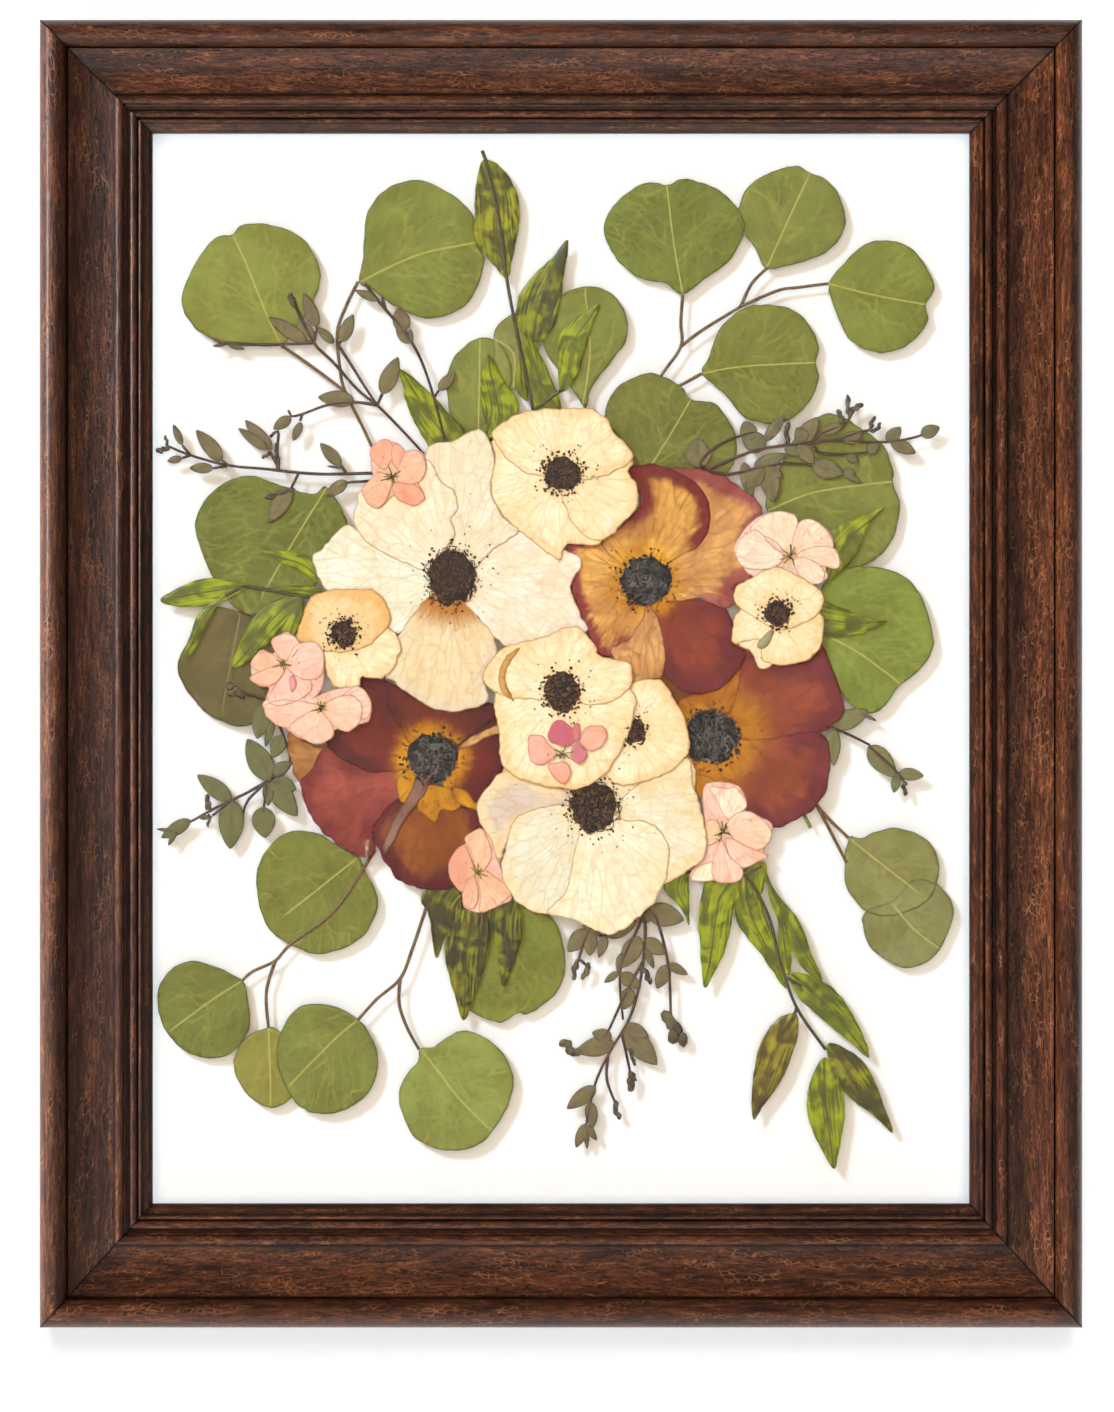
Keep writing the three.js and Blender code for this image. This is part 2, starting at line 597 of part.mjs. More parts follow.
// The hanger's flat ends are nailed to the wood, and its toothed middle stands off for the nail
function addHanger() {
  const half = HANGER_LENGTH / 2;
  const middle = (HANGER_TEETH * HANGER_TOOTH_PITCH) / 2;
  const top = topZ(0.5) + HANGER_HEIGHT / 2;
  const bottom = top - HANGER_HEIGHT;
  const outline = [new THREE.Vector2(-half, bottom + 1), new THREE.Vector2(-half + 1, bottom)];
  for (let tooth = 0; tooth <= HANGER_TEETH; tooth += 1) {
    const x = tooth * HANGER_TOOTH_PITCH - middle;
    outline.push(new THREE.Vector2(x, bottom));
    if (tooth < HANGER_TEETH) outline.push(new THREE.Vector2(x + HANGER_TOOTH_PITCH / 2, bottom + 1.8));
  }
  outline.push(new THREE.Vector2(half - 1, bottom), new THREE.Vector2(half, bottom + 1));
  outline.push(new THREE.Vector2(half, top - 1), new THREE.Vector2(half - 1, top));
  outline.push(new THREE.Vector2(middle, top), new THREE.Vector2(-middle, top));
  outline.push(new THREE.Vector2(1 - half, top), new THREE.Vector2(-half, top - 1));
  const geometry = sheet(outline, -FIT_GAP - HANGER_THICKNESS, -FIT_GAP);
  const position = geometry.attributes.position;
  for (let i = 0; i < position.count; i += 1) {
    const inMiddle = Math.abs(position.getX(i)) < middle - HANGER_TOOTH_PITCH / 4;
    if (inMiddle) position.setY(i, position.getY(i) + HANGER_RISE);
  }
  geometry.computeVertexNormals();
  addPiece("sawtooth_hanger", geometry, "steel", 0.35, 1);
}

addHanger();

function addBumper(name, side) {
  const profile = [
    new THREE.Vector2(0, 0),
    new THREE.Vector2(BUMPER_RADIUS, 0),
    new THREE.Vector2(BUMPER_RADIUS, BUMPER_HEIGHT * 0.6),
    new THREE.Vector2(BUMPER_RADIUS * 0.75, BUMPER_HEIGHT),
    new THREE.Vector2(0, BUMPER_HEIGHT),
  ];
  const geometry = new THREE.LatheGeometry(profile, 16);
  const x = side * (sideX(1) - BUMPER_INSET);
  geometry.translate(x, MIDDLE_DEPTH + FIT_GAP, bottomZ(1) + BUMPER_INSET);
  addPiece(name, geometry, "rubber", 0.7);
}

addBumper("bumper_left", -1);
addBumper("bumper_right", 1);

// Specimens

const layerBack = (layer) => FIRST_LAYER + layer * LAYER_PITCH;

function plate(outline, layer) {
  return toSolid(sheet(outline, layerBack(layer), layerBack(layer) + LEAF_THICKNESS));
}

// Moves the end of a stem on by its width, into the leaf that it carries
function runOn(from, end) {
  end.add(end.clone().sub(from).normalize().multiplyScalar(TWIG_WIDTH));
}

// A flat stem along its points
function stemPlate(text, layer, width = TWIG_WIDTH) {
  const way = readPoints(text);
  const line = way.map((point) => point.clone());
  runOn(line[1], line[0]);
  runOn(line[line.length - 2], line[line.length - 1]);
  const left = [];
  const right = [];
  line.forEach((point, i) => {
    const before = line[Math.max(i - 1, 0)];
    const after = line[Math.min(i + 1, line.length - 1)];
    const across = after.clone().sub(before).normalize().multiplyScalar(width / 2);
    left.push(new THREE.Vector2(point.x - across.y, point.y + across.x));
    right.unshift(new THREE.Vector2(point.x + across.y, point.y - across.x));
  });
  return plate([...left, ...right], layer);
}

// A small leaf or bud from its base to its tip, widest in the middle
function leafletPlate(text, layer) {
  const [base, tip, size] = text.trim().split(" ");
  const [start, end] = readPoints(`${base} ${tip}`);
  const along = end.clone().sub(start);
  const half = Number(size) * PIXEL * 0.5;
  const across = new THREE.Vector2(-along.y, along.x).normalize();
  const outline = LEAFLET_PROFILE.map(([share, fullness]) => {
    const middle = start.clone().addScaledVector(along, share);
    return middle.addScaledVector(across, fullness * half);
  });
  return plate(outline, layer);
}

const LEAFLET_PROFILE = [
  [-0.03, 0.2],
  [-0.03, -0.2],
  [0.5, -1],
  [1, -0.2],
  [1, 0.2],
  [0.5, 1],
];

function outlinePlates(table, keys, layer) {
  return keys.map((key) => plate(readPoints(table[key]), layer));
}

function addSpecimen(name, parts, colour, roughness) {
  const whole = parts.reduce((sum, part) => sum.add(part));
  addPiece(name, toGeometry(whole), colour, roughness);
}

function stemsOf(key, layer) {
  return (STEMS[key] ?? []).map((text) => stemPlate(text, layer));
}

// Layers count up from the glass that the specimens lie on
const EUCALYPTUS_NODES = [
  ["eucalyptus_top_left", ["e1", "e2"], "e1", 0],
  ["eucalyptus_top_right", ["e3", "e4", "e5", "e6"], "e3", 0],
  ["eucalyptus_leaf_top", ["e7"], "e7", 0],
  ["eucalyptus_leaf_upper", ["e9"], "", 0],
  ["eucalyptus_leaf_middle", ["e10"], "", 1],
  ["eucalyptus_leaf_right_high", ["e11"], "", 0],
  ["eucalyptus_leaf_right_low", ["e12"], "", 1],
  ["eucalyptus_leaf_left_high", ["e13"], "", 1],
  ["eucalyptus_leaf_left_low", ["e15"], "", 0],
  ["eucalyptus_bottom_left", ["e16", "e17", "e18"], "e17", 0],
  ["eucalyptus_bottom_middle", ["e19", "e20"], "e19", 1],
  ["eucalyptus_leaf_bottom", ["e21"], "", 0],
  ["eucalyptus_right", ["e22", "e23"], "e22", 0],
];
for (const [name, leaves, stems, layer] of EUCALYPTUS_NODES) {
  const colour = name === "eucalyptus_leaf_left_low" ? "brownEucalyptus" : "eucalyptus";
  addSpecimen(name, [...outlinePlates(EUCALYPTUS, leaves, layer), ...stemsOf(stems, layer)], colour, 0.6);
}

const RUSCUS_NODES = [
  ["ruscus_top", ["r1", "r2", "r2b", "r3", "r4", "r4b", "r5"], "r1", 1],
  ["ruscus_left", ["r6", "r7", "r8", "r9", "r10", "r10b"], "r6", 2],
  ["ruscus_leaf_right_high", ["r11"], "", 2],
  ["ruscus_leaf_right_low", ["r12"], "", 2],
  ["ruscus_bottom_left", ["r13a", "r13b", "r14"], "r13", 2],
  [
    "ruscus_bottom_right",
    ["r15", "r16", "r17", "r17b", "r18", "r18b", "r19", "r20", "r21", "r22"],
    "r15",
    2,
  ],
];
for (const [name, leaves, stems, layer] of RUSCUS_NODES) {
  addSpecimen(name, [...outlinePlates(RUSCUS, leaves, layer), ...stemsOf(stems, layer)], "ruscus", 0.45);
}

const TWIG_LAYERS = { s1: 2, s2: 2, s3: 2, s4: 2, s5: 1, s6: 1, s7: 2 };
for (const [key, twig] of Object.entries(TWIGS)) {
  const layer = TWIG_LAYERS[key];
  const isWide = (text) => Number(text.trim().split(" ")[2]) >= SMALLEST_LEAFLET_PX;
  const leaflets = twig.leaves.split(";").filter(isWide);
  const stems = twig.stems.map((text) => stemPlate(text, layer));
  const parts = [...stems, ...leaflets.map((text) => leafletPlate(text, layer))];
  addSpecimen(`twig_${key}`, parts, "twig", 0.6);
}

// A flower is its petals and the low dark disc in their middle
const FLOWER_LAYERS = { a: 5, b: 6, c: 7, d: 6, e: 5, f: 6, g: 6, p1: 4, p2: 3, p3: 3 };
const DISC_SIDES = 12;
for (const [key, layer] of Object.entries(FLOWER_LAYERS)) {
  const petals = Object.keys(PETALS).filter((petal) => petal.startsWith(`${key}_`));
  const [middle, rx, ry] = DISCS[`flower_${key}`].split(" ");
  const [centre] = readPoints(middle);
  const ring = Array.from({ length: DISC_SIDES }, (_, i) => {
    const angle = (i / DISC_SIDES) * Math.PI * 2;
    const across = Math.cos(angle) * rx * PIXEL;
    const up = Math.sin(angle) * ry * PIXEL;
    return new THREE.Vector2(centre.x + across, centre.y + up);
  });
  const back = layerBack(layer);
  const disc = toSolid(sheet(ring, back, back + LEAF_THICKNESS + DISC_HEIGHT));
  const colour = key[0] === "p" ? "maroon" : "cream";
  addSpecimen(`flower_${key}`, [...outlinePlates(PETALS, petals, layer), disc], colour, 0.6);
}

const FLORET_NODES = [
  ["florets_k1", ["k1"], 6],
  ["florets_k2", ["k2"], 5],
  ["florets_k3", ["k3", "k4"], 7],
  ["florets_k5", ["k5"], 8],
  ["florets_k6", ["k6"], 4],
  ["florets_k7", ["k7"], 4],
];
for (const [name, florets, layer] of FLORET_NODES) {
  addSpecimen(name, outlinePlates(FLORETS, florets, layer), "pink", 0.6);
}

export default frame;
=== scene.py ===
# %% [markdown]
# # Pressed flower frame
# A dark moulded frame holds two panes of glass. A bouquet of pressed leaves and flowers lies
# between them, three millimetres in front of a white board, so every leaf throws a soft shadow.
# The script loads the measured model first and then builds the fine surface of each piece on it.

# %% Load the measured model
import math
import random

import bpy
import numpy as np
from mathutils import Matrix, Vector, geometry, noise


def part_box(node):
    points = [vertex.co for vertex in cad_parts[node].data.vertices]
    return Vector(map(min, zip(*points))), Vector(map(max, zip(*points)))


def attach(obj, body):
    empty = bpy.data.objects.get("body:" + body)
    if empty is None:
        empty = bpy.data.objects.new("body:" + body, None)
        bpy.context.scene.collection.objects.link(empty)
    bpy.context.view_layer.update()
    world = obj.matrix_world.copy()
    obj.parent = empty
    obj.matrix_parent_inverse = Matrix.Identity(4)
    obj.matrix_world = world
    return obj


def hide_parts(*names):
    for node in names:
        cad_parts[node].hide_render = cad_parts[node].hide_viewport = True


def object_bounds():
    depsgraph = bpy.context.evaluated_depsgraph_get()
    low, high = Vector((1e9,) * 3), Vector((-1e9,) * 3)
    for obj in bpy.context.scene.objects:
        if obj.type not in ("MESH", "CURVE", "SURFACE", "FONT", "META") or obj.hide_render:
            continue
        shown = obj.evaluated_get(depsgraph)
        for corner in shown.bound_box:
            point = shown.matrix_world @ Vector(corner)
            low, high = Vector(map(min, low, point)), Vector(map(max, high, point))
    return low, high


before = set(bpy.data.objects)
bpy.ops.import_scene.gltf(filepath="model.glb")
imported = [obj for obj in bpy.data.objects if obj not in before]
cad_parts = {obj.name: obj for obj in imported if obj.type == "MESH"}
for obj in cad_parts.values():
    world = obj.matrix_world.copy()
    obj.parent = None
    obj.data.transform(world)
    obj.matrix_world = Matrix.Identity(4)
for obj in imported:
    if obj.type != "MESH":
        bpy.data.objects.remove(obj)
cad_low, cad_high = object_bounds()
scene = bpy.context.scene
print("box of the measured model:", [round(v, 4) for v in (*cad_low, *cad_high)])

# %% [markdown]
# ## Places in the photograph
# The view is square to the glass, so a pixel of the photograph is a place on the picture plane.
# The opening's size turns pixels into millimetres. The specimens lie a little behind the edge
# that the opening is measured at, so they are a half per cent larger than the pixels say.

# %% Pixels to millimetres
VIEW_MIDDLE_PX = (557, 706)
SIGHT_MIDDLE_PX = (561, 668.5)
SIGHT_WIDTH_PX = 817
SIGHT_WIDTH = 266.0
SIGHT_HEIGHT = 348.5
RAIL_WIDTH = 36.0
BOTTOM_RAIL_WIDTH = 39.5
FRAME_DEPTH = 28.0
BEHIND_EDGE = 1.005
PIXEL = SIGHT_WIDTH / SIGHT_WIDTH_PX
SIGHT_TOP = cad_high.z * 1000 - RAIL_WIDTH
SIGHT_BOTTOM = cad_low.z * 1000 + BOTTOM_RAIL_WIDTH
WOOD_BACK = cad_low.y * 1000 + FRAME_DEPTH
VIEW_X = (VIEW_MIDDLE_PX[0] - SIGHT_MIDDLE_PX[0]) * PIXEL
VIEW_Z = (SIGHT_TOP + SIGHT_BOTTOM) / 2 + (SIGHT_MIDDLE_PX[1] - VIEW_MIDDLE_PX[1]) * PIXEL
MM = 0.001


def place(x, y):
    """Where a pixel of the photograph lies among the specimens, in millimetres."""
    scale = PIXEL * BEHIND_EDGE
    return (VIEW_X + (x - VIEW_MIDDLE_PX[0]) * scale, VIEW_Z + (VIEW_MIDDLE_PX[1] - y) * scale)


def read_points(text):
    """The places that a text such as "120,340 130,355" names."""
    return [place(*map(float, pair.split(","))) for pair in text.split()]


print(f"one pixel is {PIXEL:.4f} mm")

# %% [markdown]
# ## The camera
# The photograph looks straight at the frame from far enough away that its sides stay parallel.
# A long lens at 1.4 m does that. The frame sits high in the picture, so the camera looks at a
# point a little below the frame's middle, with no shift.

# %% Camera
CAMERA_DISTANCE = 1.4
PHOTO_HEIGHT_PX = 1412
SENSOR = 36.0
sight_edge_y = (WOOD_BACK - 17.6) * MM
camera_data = bpy.data.cameras.new("view")
camera = bpy.data.objects.new("view", camera_data)
scene.collection.objects.link(camera)
camera.location = (VIEW_X * MM, sight_edge_y - CAMERA_DISTANCE, VIEW_Z * MM)
camera.rotation_euler = (math.radians(90), 0, 0)
camera_data.sensor_width = SENSOR
camera_data.lens = SENSOR * CAMERA_DISTANCE / (PHOTO_HEIGHT_PX * PIXEL * MM)
scene.camera = camera
print(f"lens {camera_data.lens:.1f} mm")

# %% [markdown]
# ## Colours and nodes
# Colours are written as the hex values that a screen shows, and one function turns them to the
# linear values that a shader needs. One more function adds a node with its settings and links.


# %% Helpers for materials
def linear(hex_colour, alpha=1.0):
    """An sRGB hex colour as linear RGBA."""
    parts = [int(hex_colour[i : i + 2], 16) / 255 for i in (1, 3, 5)]
    return (*[c / 12.92 if c <= 0.04045 else ((c + 0.055) / 1.055) ** 2.4 for c in parts], alpha)


def add(tree, kind, inputs=None, stops=None, **settings):
    """Adds a node. An input is a value, an output socket, or a node, which means its output in use."""
    made = tree.nodes.new("ShaderNode" + kind)
    for name, setting in settings.items():
        setattr(made, name, setting)
    for name, given in (inputs or {}).items():
        if isinstance(given, bpy.types.Node):
            given = next(socket for socket in given.outputs if socket.enabled)
        if isinstance(given, bpy.types.NodeSocket):
            tree.links.new(given, made.inputs[name])
        else:
            made.inputs[name].default_value = linear(given) if isinstance(given, str) else given
    if stops:
        ramp = made.color_ramp
        while len(ramp.elements) < len(stops):
            ramp.elements.new(1.0)
        for element, (position, colour) in zip(ramp.elements, stops):
            element.position = position
            element.color = linear(colour) if isinstance(colour, str) else (colour, colour, colour, 1)
    return made


def new_material(name):
    """An empty material with its node tree and its output."""
    made = bpy.data.materials.new(name)
    made.use_nodes = True
    made.node_tree.nodes.clear()
    return made, made.node_tree, add(made.node_tree, "OutputMaterial")


# %% [markdown]
# ## Dark walnut stain
# The moulding is stained softwood or walnut under a thin satin varnish. The eye gets a near-black
# brown with warm streaks that run along each rail, fine dark pores, and a greyish shine where the
# varnish catches the window. The stain is darker in the quirks, where it pools, and rubbed paler
# on the tops of the beads. Each rail carries its own grain direction in an attribute, so one
# material does all four.

# %% Walnut material
walnut, tree, output = new_material("walnut_stain_satin_varnish")
grain = add(tree, "Attribute", attribute_name="grain")
along, across, height = add(tree, "SeparateXYZ", {0: grain.outputs["Vector"]}).outputs
pooled_stain_and_mitre_shade = add(tree, "Attribute", attribute_name="pooled_stain_and_mitre_shade").outputs["Fac"]


def along_grain(tree, stretch, spread):
    """Coordinates in millimetres, drawn out along the grain by a stretch below one."""
    run = add(tree, "Math", {0: along, 1: stretch}, operation="MULTIPLY")
    width = add(tree, "Math", {0: across, 1: spread}, operation="MULTIPLY")
    lift = add(tree, "Math", {0: height, 1: spread}, operation="MULTIPLY")
    return add(tree, "CombineXYZ", {0: run, 1: width, 2: lift}).outputs[0]


# Broad bands of darker and warmer wood, some 100 mm long
bands = add(tree, "TexNoise", {"Vector": along_grain(tree, 0.02, 0.2), "Scale": 1.0, "Detail": 3.0})
# Streaks of early wood 1 mm wide and up to 12 mm long
streaks = add(
    tree,
    "TexNoise",
    {"Vector": along_grain(tree, 0.14, 1.0), "Scale": 0.9, "Detail": 6.0, "Roughness": 0.7,
     "Distortion": 0.6},
)
# Pores are dark dashes 0.2 mm wide on the real wood, drawn about 0.4 mm wide so that they show
pores = add(
    tree,
    "TexNoise",
    {"Vector": along_grain(tree, 0.4, 2.2), "Scale": 1.1, "Detail": 2.0, "Roughness": 0.7},
)
# Cracks and rubbed ridges in the varnish, a few millimetres apart
crazed = add(
    tree, "TexVoronoi", {"Vector": along_grain(tree, 0.3, 0.75), "Scale": 1.0, "Randomness": 1.0},
    feature="DISTANCE_TO_EDGE",
)
rubbed_at = add(
    tree,
    "TexNoise",
    {"Vector": along_grain(tree, 0.05, 0.3), "Scale": 1.0, "Detail": 4.0, "Roughness": 0.75},
)
stain = add(
    tree,
    "ValToRGB",
    {0: streaks.outputs["Fac"]},
    stops=[(0.3, "#1E0F08"), (0.44, "#3E2316"), (0.58, "#5C3623"), (0.76, "#96603F")],
)
warm = add(tree, "ValToRGB", {0: bands.outputs["Fac"]}, stops=[(0.34, "#8E7C70"), (0.66, "#FFF4E8")])
toned = add(
    tree,
    "Mix",
    {0: 0.85, 6: stain.outputs[0], 7: warm.outputs[0]},
    data_type="RGBA",
    blend_type="MULTIPLY",
)
pore_mask = add(tree, "ValToRGB", {0: pores.outputs["Fac"]}, stops=[(0.36, 0.0), (0.44, 1.0)])
pored = add(tree, "Mix", {0: pore_mask.outputs[0], 6: "#150A05", 7: toned}, data_type="RGBA")
ridge = add(tree, "MapRange", {0: crazed.outputs["Distance"], 1: 0.0, 2: 0.09, 3: 1.0, 4: 0.0}).outputs[0]
rub_mask = add(tree, "MapRange", {0: rubbed_at.outputs["Fac"], 1: 0.5, 2: 0.62}).outputs[0]
rubbed = add(
    tree,
    "Math",
    {0: add(tree, "Math", {0: rub_mask, 1: ridge}, operation="MULTIPLY"), 1: 0.5},
    operation="MULTIPLY",
)
rubbed_colour = add(tree, "Mix", {0: rubbed, 6: pored, 7: "#A06A44"}, data_type="RGBA")
# Darker where stain pools in the quirks, and near black at each mitre as painted shade in the seam
wood_colour = add(tree, "Mix", {0: pooled_stain_and_mitre_shade, 6: "#0E0704", 7: rubbed_colour}, data_type="RGBA")
varnish_wear = add(tree, "MapRange", {0: streaks.outputs["Fac"], 1: 0.35, 2: 0.7, 3: 0.34, 4: 0.5})
wood_height = add(
    tree,
    "Math",
    {
        0: streaks.outputs["Fac"],
        1: 0.9,
        2: add(tree, "Math", {0: pore_mask.outputs[0], 1: 0.4}, operation="MULTIPLY"),
    },
    operation="MULTIPLY_ADD",
)
wood_height = add(tree, "Math", {0: rubbed, 1: 0.4, 2: wood_height}, operation="MULTIPLY_ADD")
wood_bump = add(tree, "Bump", {"Height": wood_height, "Strength": 0.55, "Distance": 0.0004})
wood = add(
    tree,
    "BsdfPrincipled",
    {
        "Base Color": wood_colour,
        "Roughness": varnish_wear.outputs[0],
        "Normal": wood_bump.outputs[0],
        "IOR": 1.52,
        "Coat Weight": 0.25,
        "Coat Roughness": 0.22,
    },
)
tree.links.new(wood.outputs[0], output.inputs[0])

# A black blade in each mitre is painted shade in the seam between two rails
seam_shade, tree, output = new_material("painted_shade_in_the_mitres")
where = add(tree, "TexCoord")
seam_shade_noise = add(tree, "TexNoise", {"Vector": where.outputs["Object"], "Scale": 600.0, "Detail": 3.0})
seam_shade_tone = add(tree, "ValToRGB", {0: seam_shade_noise.outputs["Fac"]}, stops=[(0.3, "#050302"), (0.7, "#120A07")])
seam_shade_face = add(tree, "BsdfPrincipled", {"Base Color": seam_shade_tone.outputs[0], "Roughness": 0.8})
tree.links.new(seam_shade_face.outputs[0], output.inputs[0])
print("made", walnut.name)

# %% [markdown]
# ## The moulding
# A moulding is one section planed along a length of wood, then cut at the corners. The section
# here is the same as in the measured model: a thin lip, three beads with fillets between them, a
# wide cove and a big outer bead. It is drawn with finer arcs, and swept along each rail in short
# steps, so that the hand-worn unevenness and small dents are in the shape itself.


# %% The section
def arc(cx, cy, rx, ry, steps):
    """A half ellipse from left to right over the top."""
    turns = [math.pi * (1 - i / steps) for i in range(steps + 1)]
    return [(cx + math.cos(t) * rx, cy + math.sin(t) * ry) for t in turns]


def cove(start, pull, end, steps):
    """A hollow curve between two points."""
    shares = [i / steps for i in range(1, steps + 1)]
    return [
        tuple((1 - t) ** 2 * a + 2 * t * (1 - t) * b + t * t * c for a, b, c in zip(start, pull, end))
        for t in shares
    ]


RABBET_WIDTH = 6.5
RABBET_DEPTH = 16.3
SECTION = [
    (RABBET_WIDTH, 0), (RABBET_WIDTH, RABBET_DEPTH), (0, RABBET_DEPTH), (0, 17.3), (0.4, 17.9),
    (1.7, 18.6), (3.05, 19.15),
    *arc(3.8, 19.5, 0.68, 0.7, 8), (4.66, 19.05),
    *arc(6.05, 19.4, 1.3, 1.3, 12), (7.45, 19.62), (8.05, 19.9), (8.2, 19.55), (8.9, 19.85),
    *arc(10.6, 20.1, 1.6, 1.6, 14), (12.3, 19.8),
    *cove((12.3, 19.8), (21, 18.9), (26.75, 23.7), 18), (27.05, 22.7),
    *arc(31.65, 23, 4.35, FRAME_DEPTH - 23, 26),
    (RAIL_WIDTH, 12), (RAIL_WIDTH, 0.8), (RAIL_WIDTH - 0.8, 0), (20, 0),
]
QUIRKS = [3.0, 4.66, 7.45, 8.2, 12.3, 27.05]
print("points round the section:", len(SECTION))


# %% Meshes from millimetres
def make_object(name, points, faces, materials, slot, smooth=True):
    """A named mesh piece on the frame's only body. Its points are in millimetres."""
    mesh = bpy.data.meshes.new(name)
    mesh.from_pydata([tuple(c * MM for c in p) for p in points], [], faces)
    for each in materials:
        mesh.materials.append(each)
    mesh.polygons.foreach_set("use_smooth", [smooth] * len(mesh.polygons))
    made = bpy.data.objects.new(name, mesh)
    scene.collection.objects.link(made)
    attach(made, "root")
    return made


def set_attribute(piece, name, kind, values):
    """Stores one value or vector a point, for the piece's material to read."""
    layer = piece.data.attributes.new(name, kind, "POINT")
    layer.data.foreach_set("vector" if kind == "FLOAT_VECTOR" else "value", np.ravel(values))


def front(height):
    """The Y of a height above the back of the wood, both in millimetres."""
    return WOOD_BACK - height


# %% Rails
RAIL_STEP = 1.6
MITRE = 0.15
WEAR = 0.07
# Over this distance from each mitre the wood is painted dark, as shade in the seam
MITRE_SHADE = 0.7
side = SIGHT_WIDTH / 2


def rail_point(name, outward, share):
    """X and Z on a rail: outward from the sight edge, and a share of the way along."""
    x_out = side + outward * RAIL_WIDTH
    top = SIGHT_TOP + outward * RAIL_WIDTH
    bottom = SIGHT_BOTTOM - outward * BOTTOM_RAIL_WIDTH
    if name in ("top", "bottom"):
        reach = x_out - MITRE
        return (reach * (2 * share - 1), top if name == "top" else bottom)
    low, high = bottom + MITRE, top - MITRE
    return (-x_out if name == "left" else x_out, low + (high - low) * share)


def make_rail(name, seed):
    """Sweeps the section along one rail, with dents, and closes both mitred ends."""
    length = 2 * (side + RAIL_WIDTH) if name in ("top", "bottom") else cad_high.z * 2000
    shares = [
        0, *np.linspace(MITRE_SHADE / length, 1 - MITRE_SHADE / length, int(length / RAIL_STEP)), 1
    ]
    steps = len(shares) - 1
    count = len(SECTION)
    points, grain_at, stain_and_mitre_shade = [], [], []
    for i, share in enumerate(shares):
        at_joint = i in (0, steps)
        for u, h in SECTION:
            x, z = rail_point(name, u / RAIL_WIDTH, share)
            along = share * length
            lump = noise.noise(Vector((along * 0.03, u * 0.25, seed)))
            dent = max(0.0, noise.noise(Vector((along * 0.11, u * 0.3, seed + 40))) - 0.45) * 1.2
            shown = h > 17.5 and u < RAIL_WIDTH
            points.append((x, front(h + (WEAR * lump - 0.8 * WEAR * dent * 8 if shown else 0)), z))
            grain_at.append((along + seed * 500, u + seed * 37, h))
            near = min(abs(u - q) for q in QUIRKS)
            rubbed = min(1.0, 0.15 + near / 0.75) if h > 17.95 else 0.35 if h > 16 else 0.6
            # At each mitre the rail's end is painted near black, as shade in the seam
            stain_and_mitre_shade.append(0.0 if at_joint else rubbed if u < RAIL_WIDTH else 0.25)
    faces = []
    flip = name in ("top", "right")
    for i in range(steps):
        for j in range(count):
            k = (j + 1) % count
            quad = (i * count + j, i * count + k, (i + 1) * count + k, (i + 1) * count + j)
            faces.append(quad if flip else quad[::-1])
    first, last = tuple(range(count)), tuple(range(steps * count, (steps + 1) * count))
    faces += [first[::-1], last] if flip else [first, last[::-1]]
    piece = make_object(f"moulding_{name}", points, faces, [walnut], "walnut")
    piece.data.polygons[len(faces) - 1].use_smooth = False
    piece.data.polygons[len(faces) - 2].use_smooth = False
    set_attribute(piece, "grain", "FLOAT_VECTOR", grain_at)
    set_attribute(piece, "pooled_stain_and_mitre_shade", "FLOAT", stain_and_mitre_shade)
    sharp = piece.modifiers.new("crisp_edges", "EDGE_SPLIT")
    sharp.split_angle = math.radians(38)
    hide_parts(f"rail_{name}")
    return piece


def make_mitre_joint(name, x_way, z_way):
    """A thin black blade between two rails, a little below their surface: painted shade in the seam."""
    points = []
    for way in (-0.1, 0.1):
        for u, h in SECTION:
            outward = u / RAIL_WIDTH
            z = SIGHT_TOP + u if z_way > 0 else SIGHT_BOTTOM - outward * BOTTOM_RAIL_WIDTH
            x = x_way * (side + u)
            points.append((x + way * x_way, front(max(0.1, h - 0.1)), z - way * z_way))
    count = len(SECTION)
    faces = [tuple(range(count)), tuple(range(count, 2 * count))[::-1]]
    for j in range(count):
        k = (j + 1) % count
        faces.append((k, j, j + count, k + count))
    if x_way * z_way < 0:
        faces = [f[::-1] for f in faces]
    return make_object(f"mitre_joint_{name}", points, faces, [seam_shade], "walnut", smooth=False)


joints = []
for name, x_way, z_way in (
    ("top_left", -1, 1), ("top_right", 1, 1), ("bottom_left", -1, -1), ("bottom_right", 1, -1),
):
    joints.append(make_mitre_joint(name, x_way, z_way))
rails = [make_rail(name, seed) for seed, name in enumerate(("top", "bottom", "left", "right"), 1)]
print("rails:", sum(len(r.data.polygons) for r in rails), "faces")

# %% [markdown]
# ## Glass
# The panes are float glass with a coating against reflections, which is why the photograph shows
# none. A coated pane mirrors well under one per cent, so the IOR is set low for that weak mirror.
# Light from the lamps has to reach the flowers, so rays of light pass straight through.

# %% Glass material
glass, tree, output = new_material("coated_float_glass")
pane = add(
    tree,
    "BsdfPrincipled",
    {"Base Color": (1, 1, 1, 1), "Roughness": 0.0, "IOR": 1.16, "Transmission Weight": 1.0},
)
clear = add(tree, "BsdfTransparent", {"Color": (1, 1, 1, 1)})
path = add(tree, "LightPath")
lamp_ray = add(
    tree,
    "Math",
    {0: path.outputs["Is Shadow Ray"], 1: path.outputs["Is Diffuse Ray"]},
    operation="MAXIMUM",
)
through = add(tree, "MixShader", {0: lamp_ray, 1: pane.outputs[0], 2: clear.outputs[0]})
tree.links.new(through.outputs[0], output.inputs[0])


def dress(node, material):
    """Gives a measured piece that is shown as it is its real material."""
    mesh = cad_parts[node].data
    mesh.materials.clear()
    mesh.materials.append(material)


for name in ("glass_front", "glass_back"):
    dress(name, glass)
print("glass on 2 panes")

# %% [markdown]
# ## Board, spacers, steel and rubber
# The board is hardboard: a smooth white paper face in front and brown pressed fibres with a fine
# mesh print behind. The spacers are white foam board. The points and the hanger are sheet steel
# with a thin zinc coat, which gives a soft grey shine with slight cloudiness. The feet are rubber.

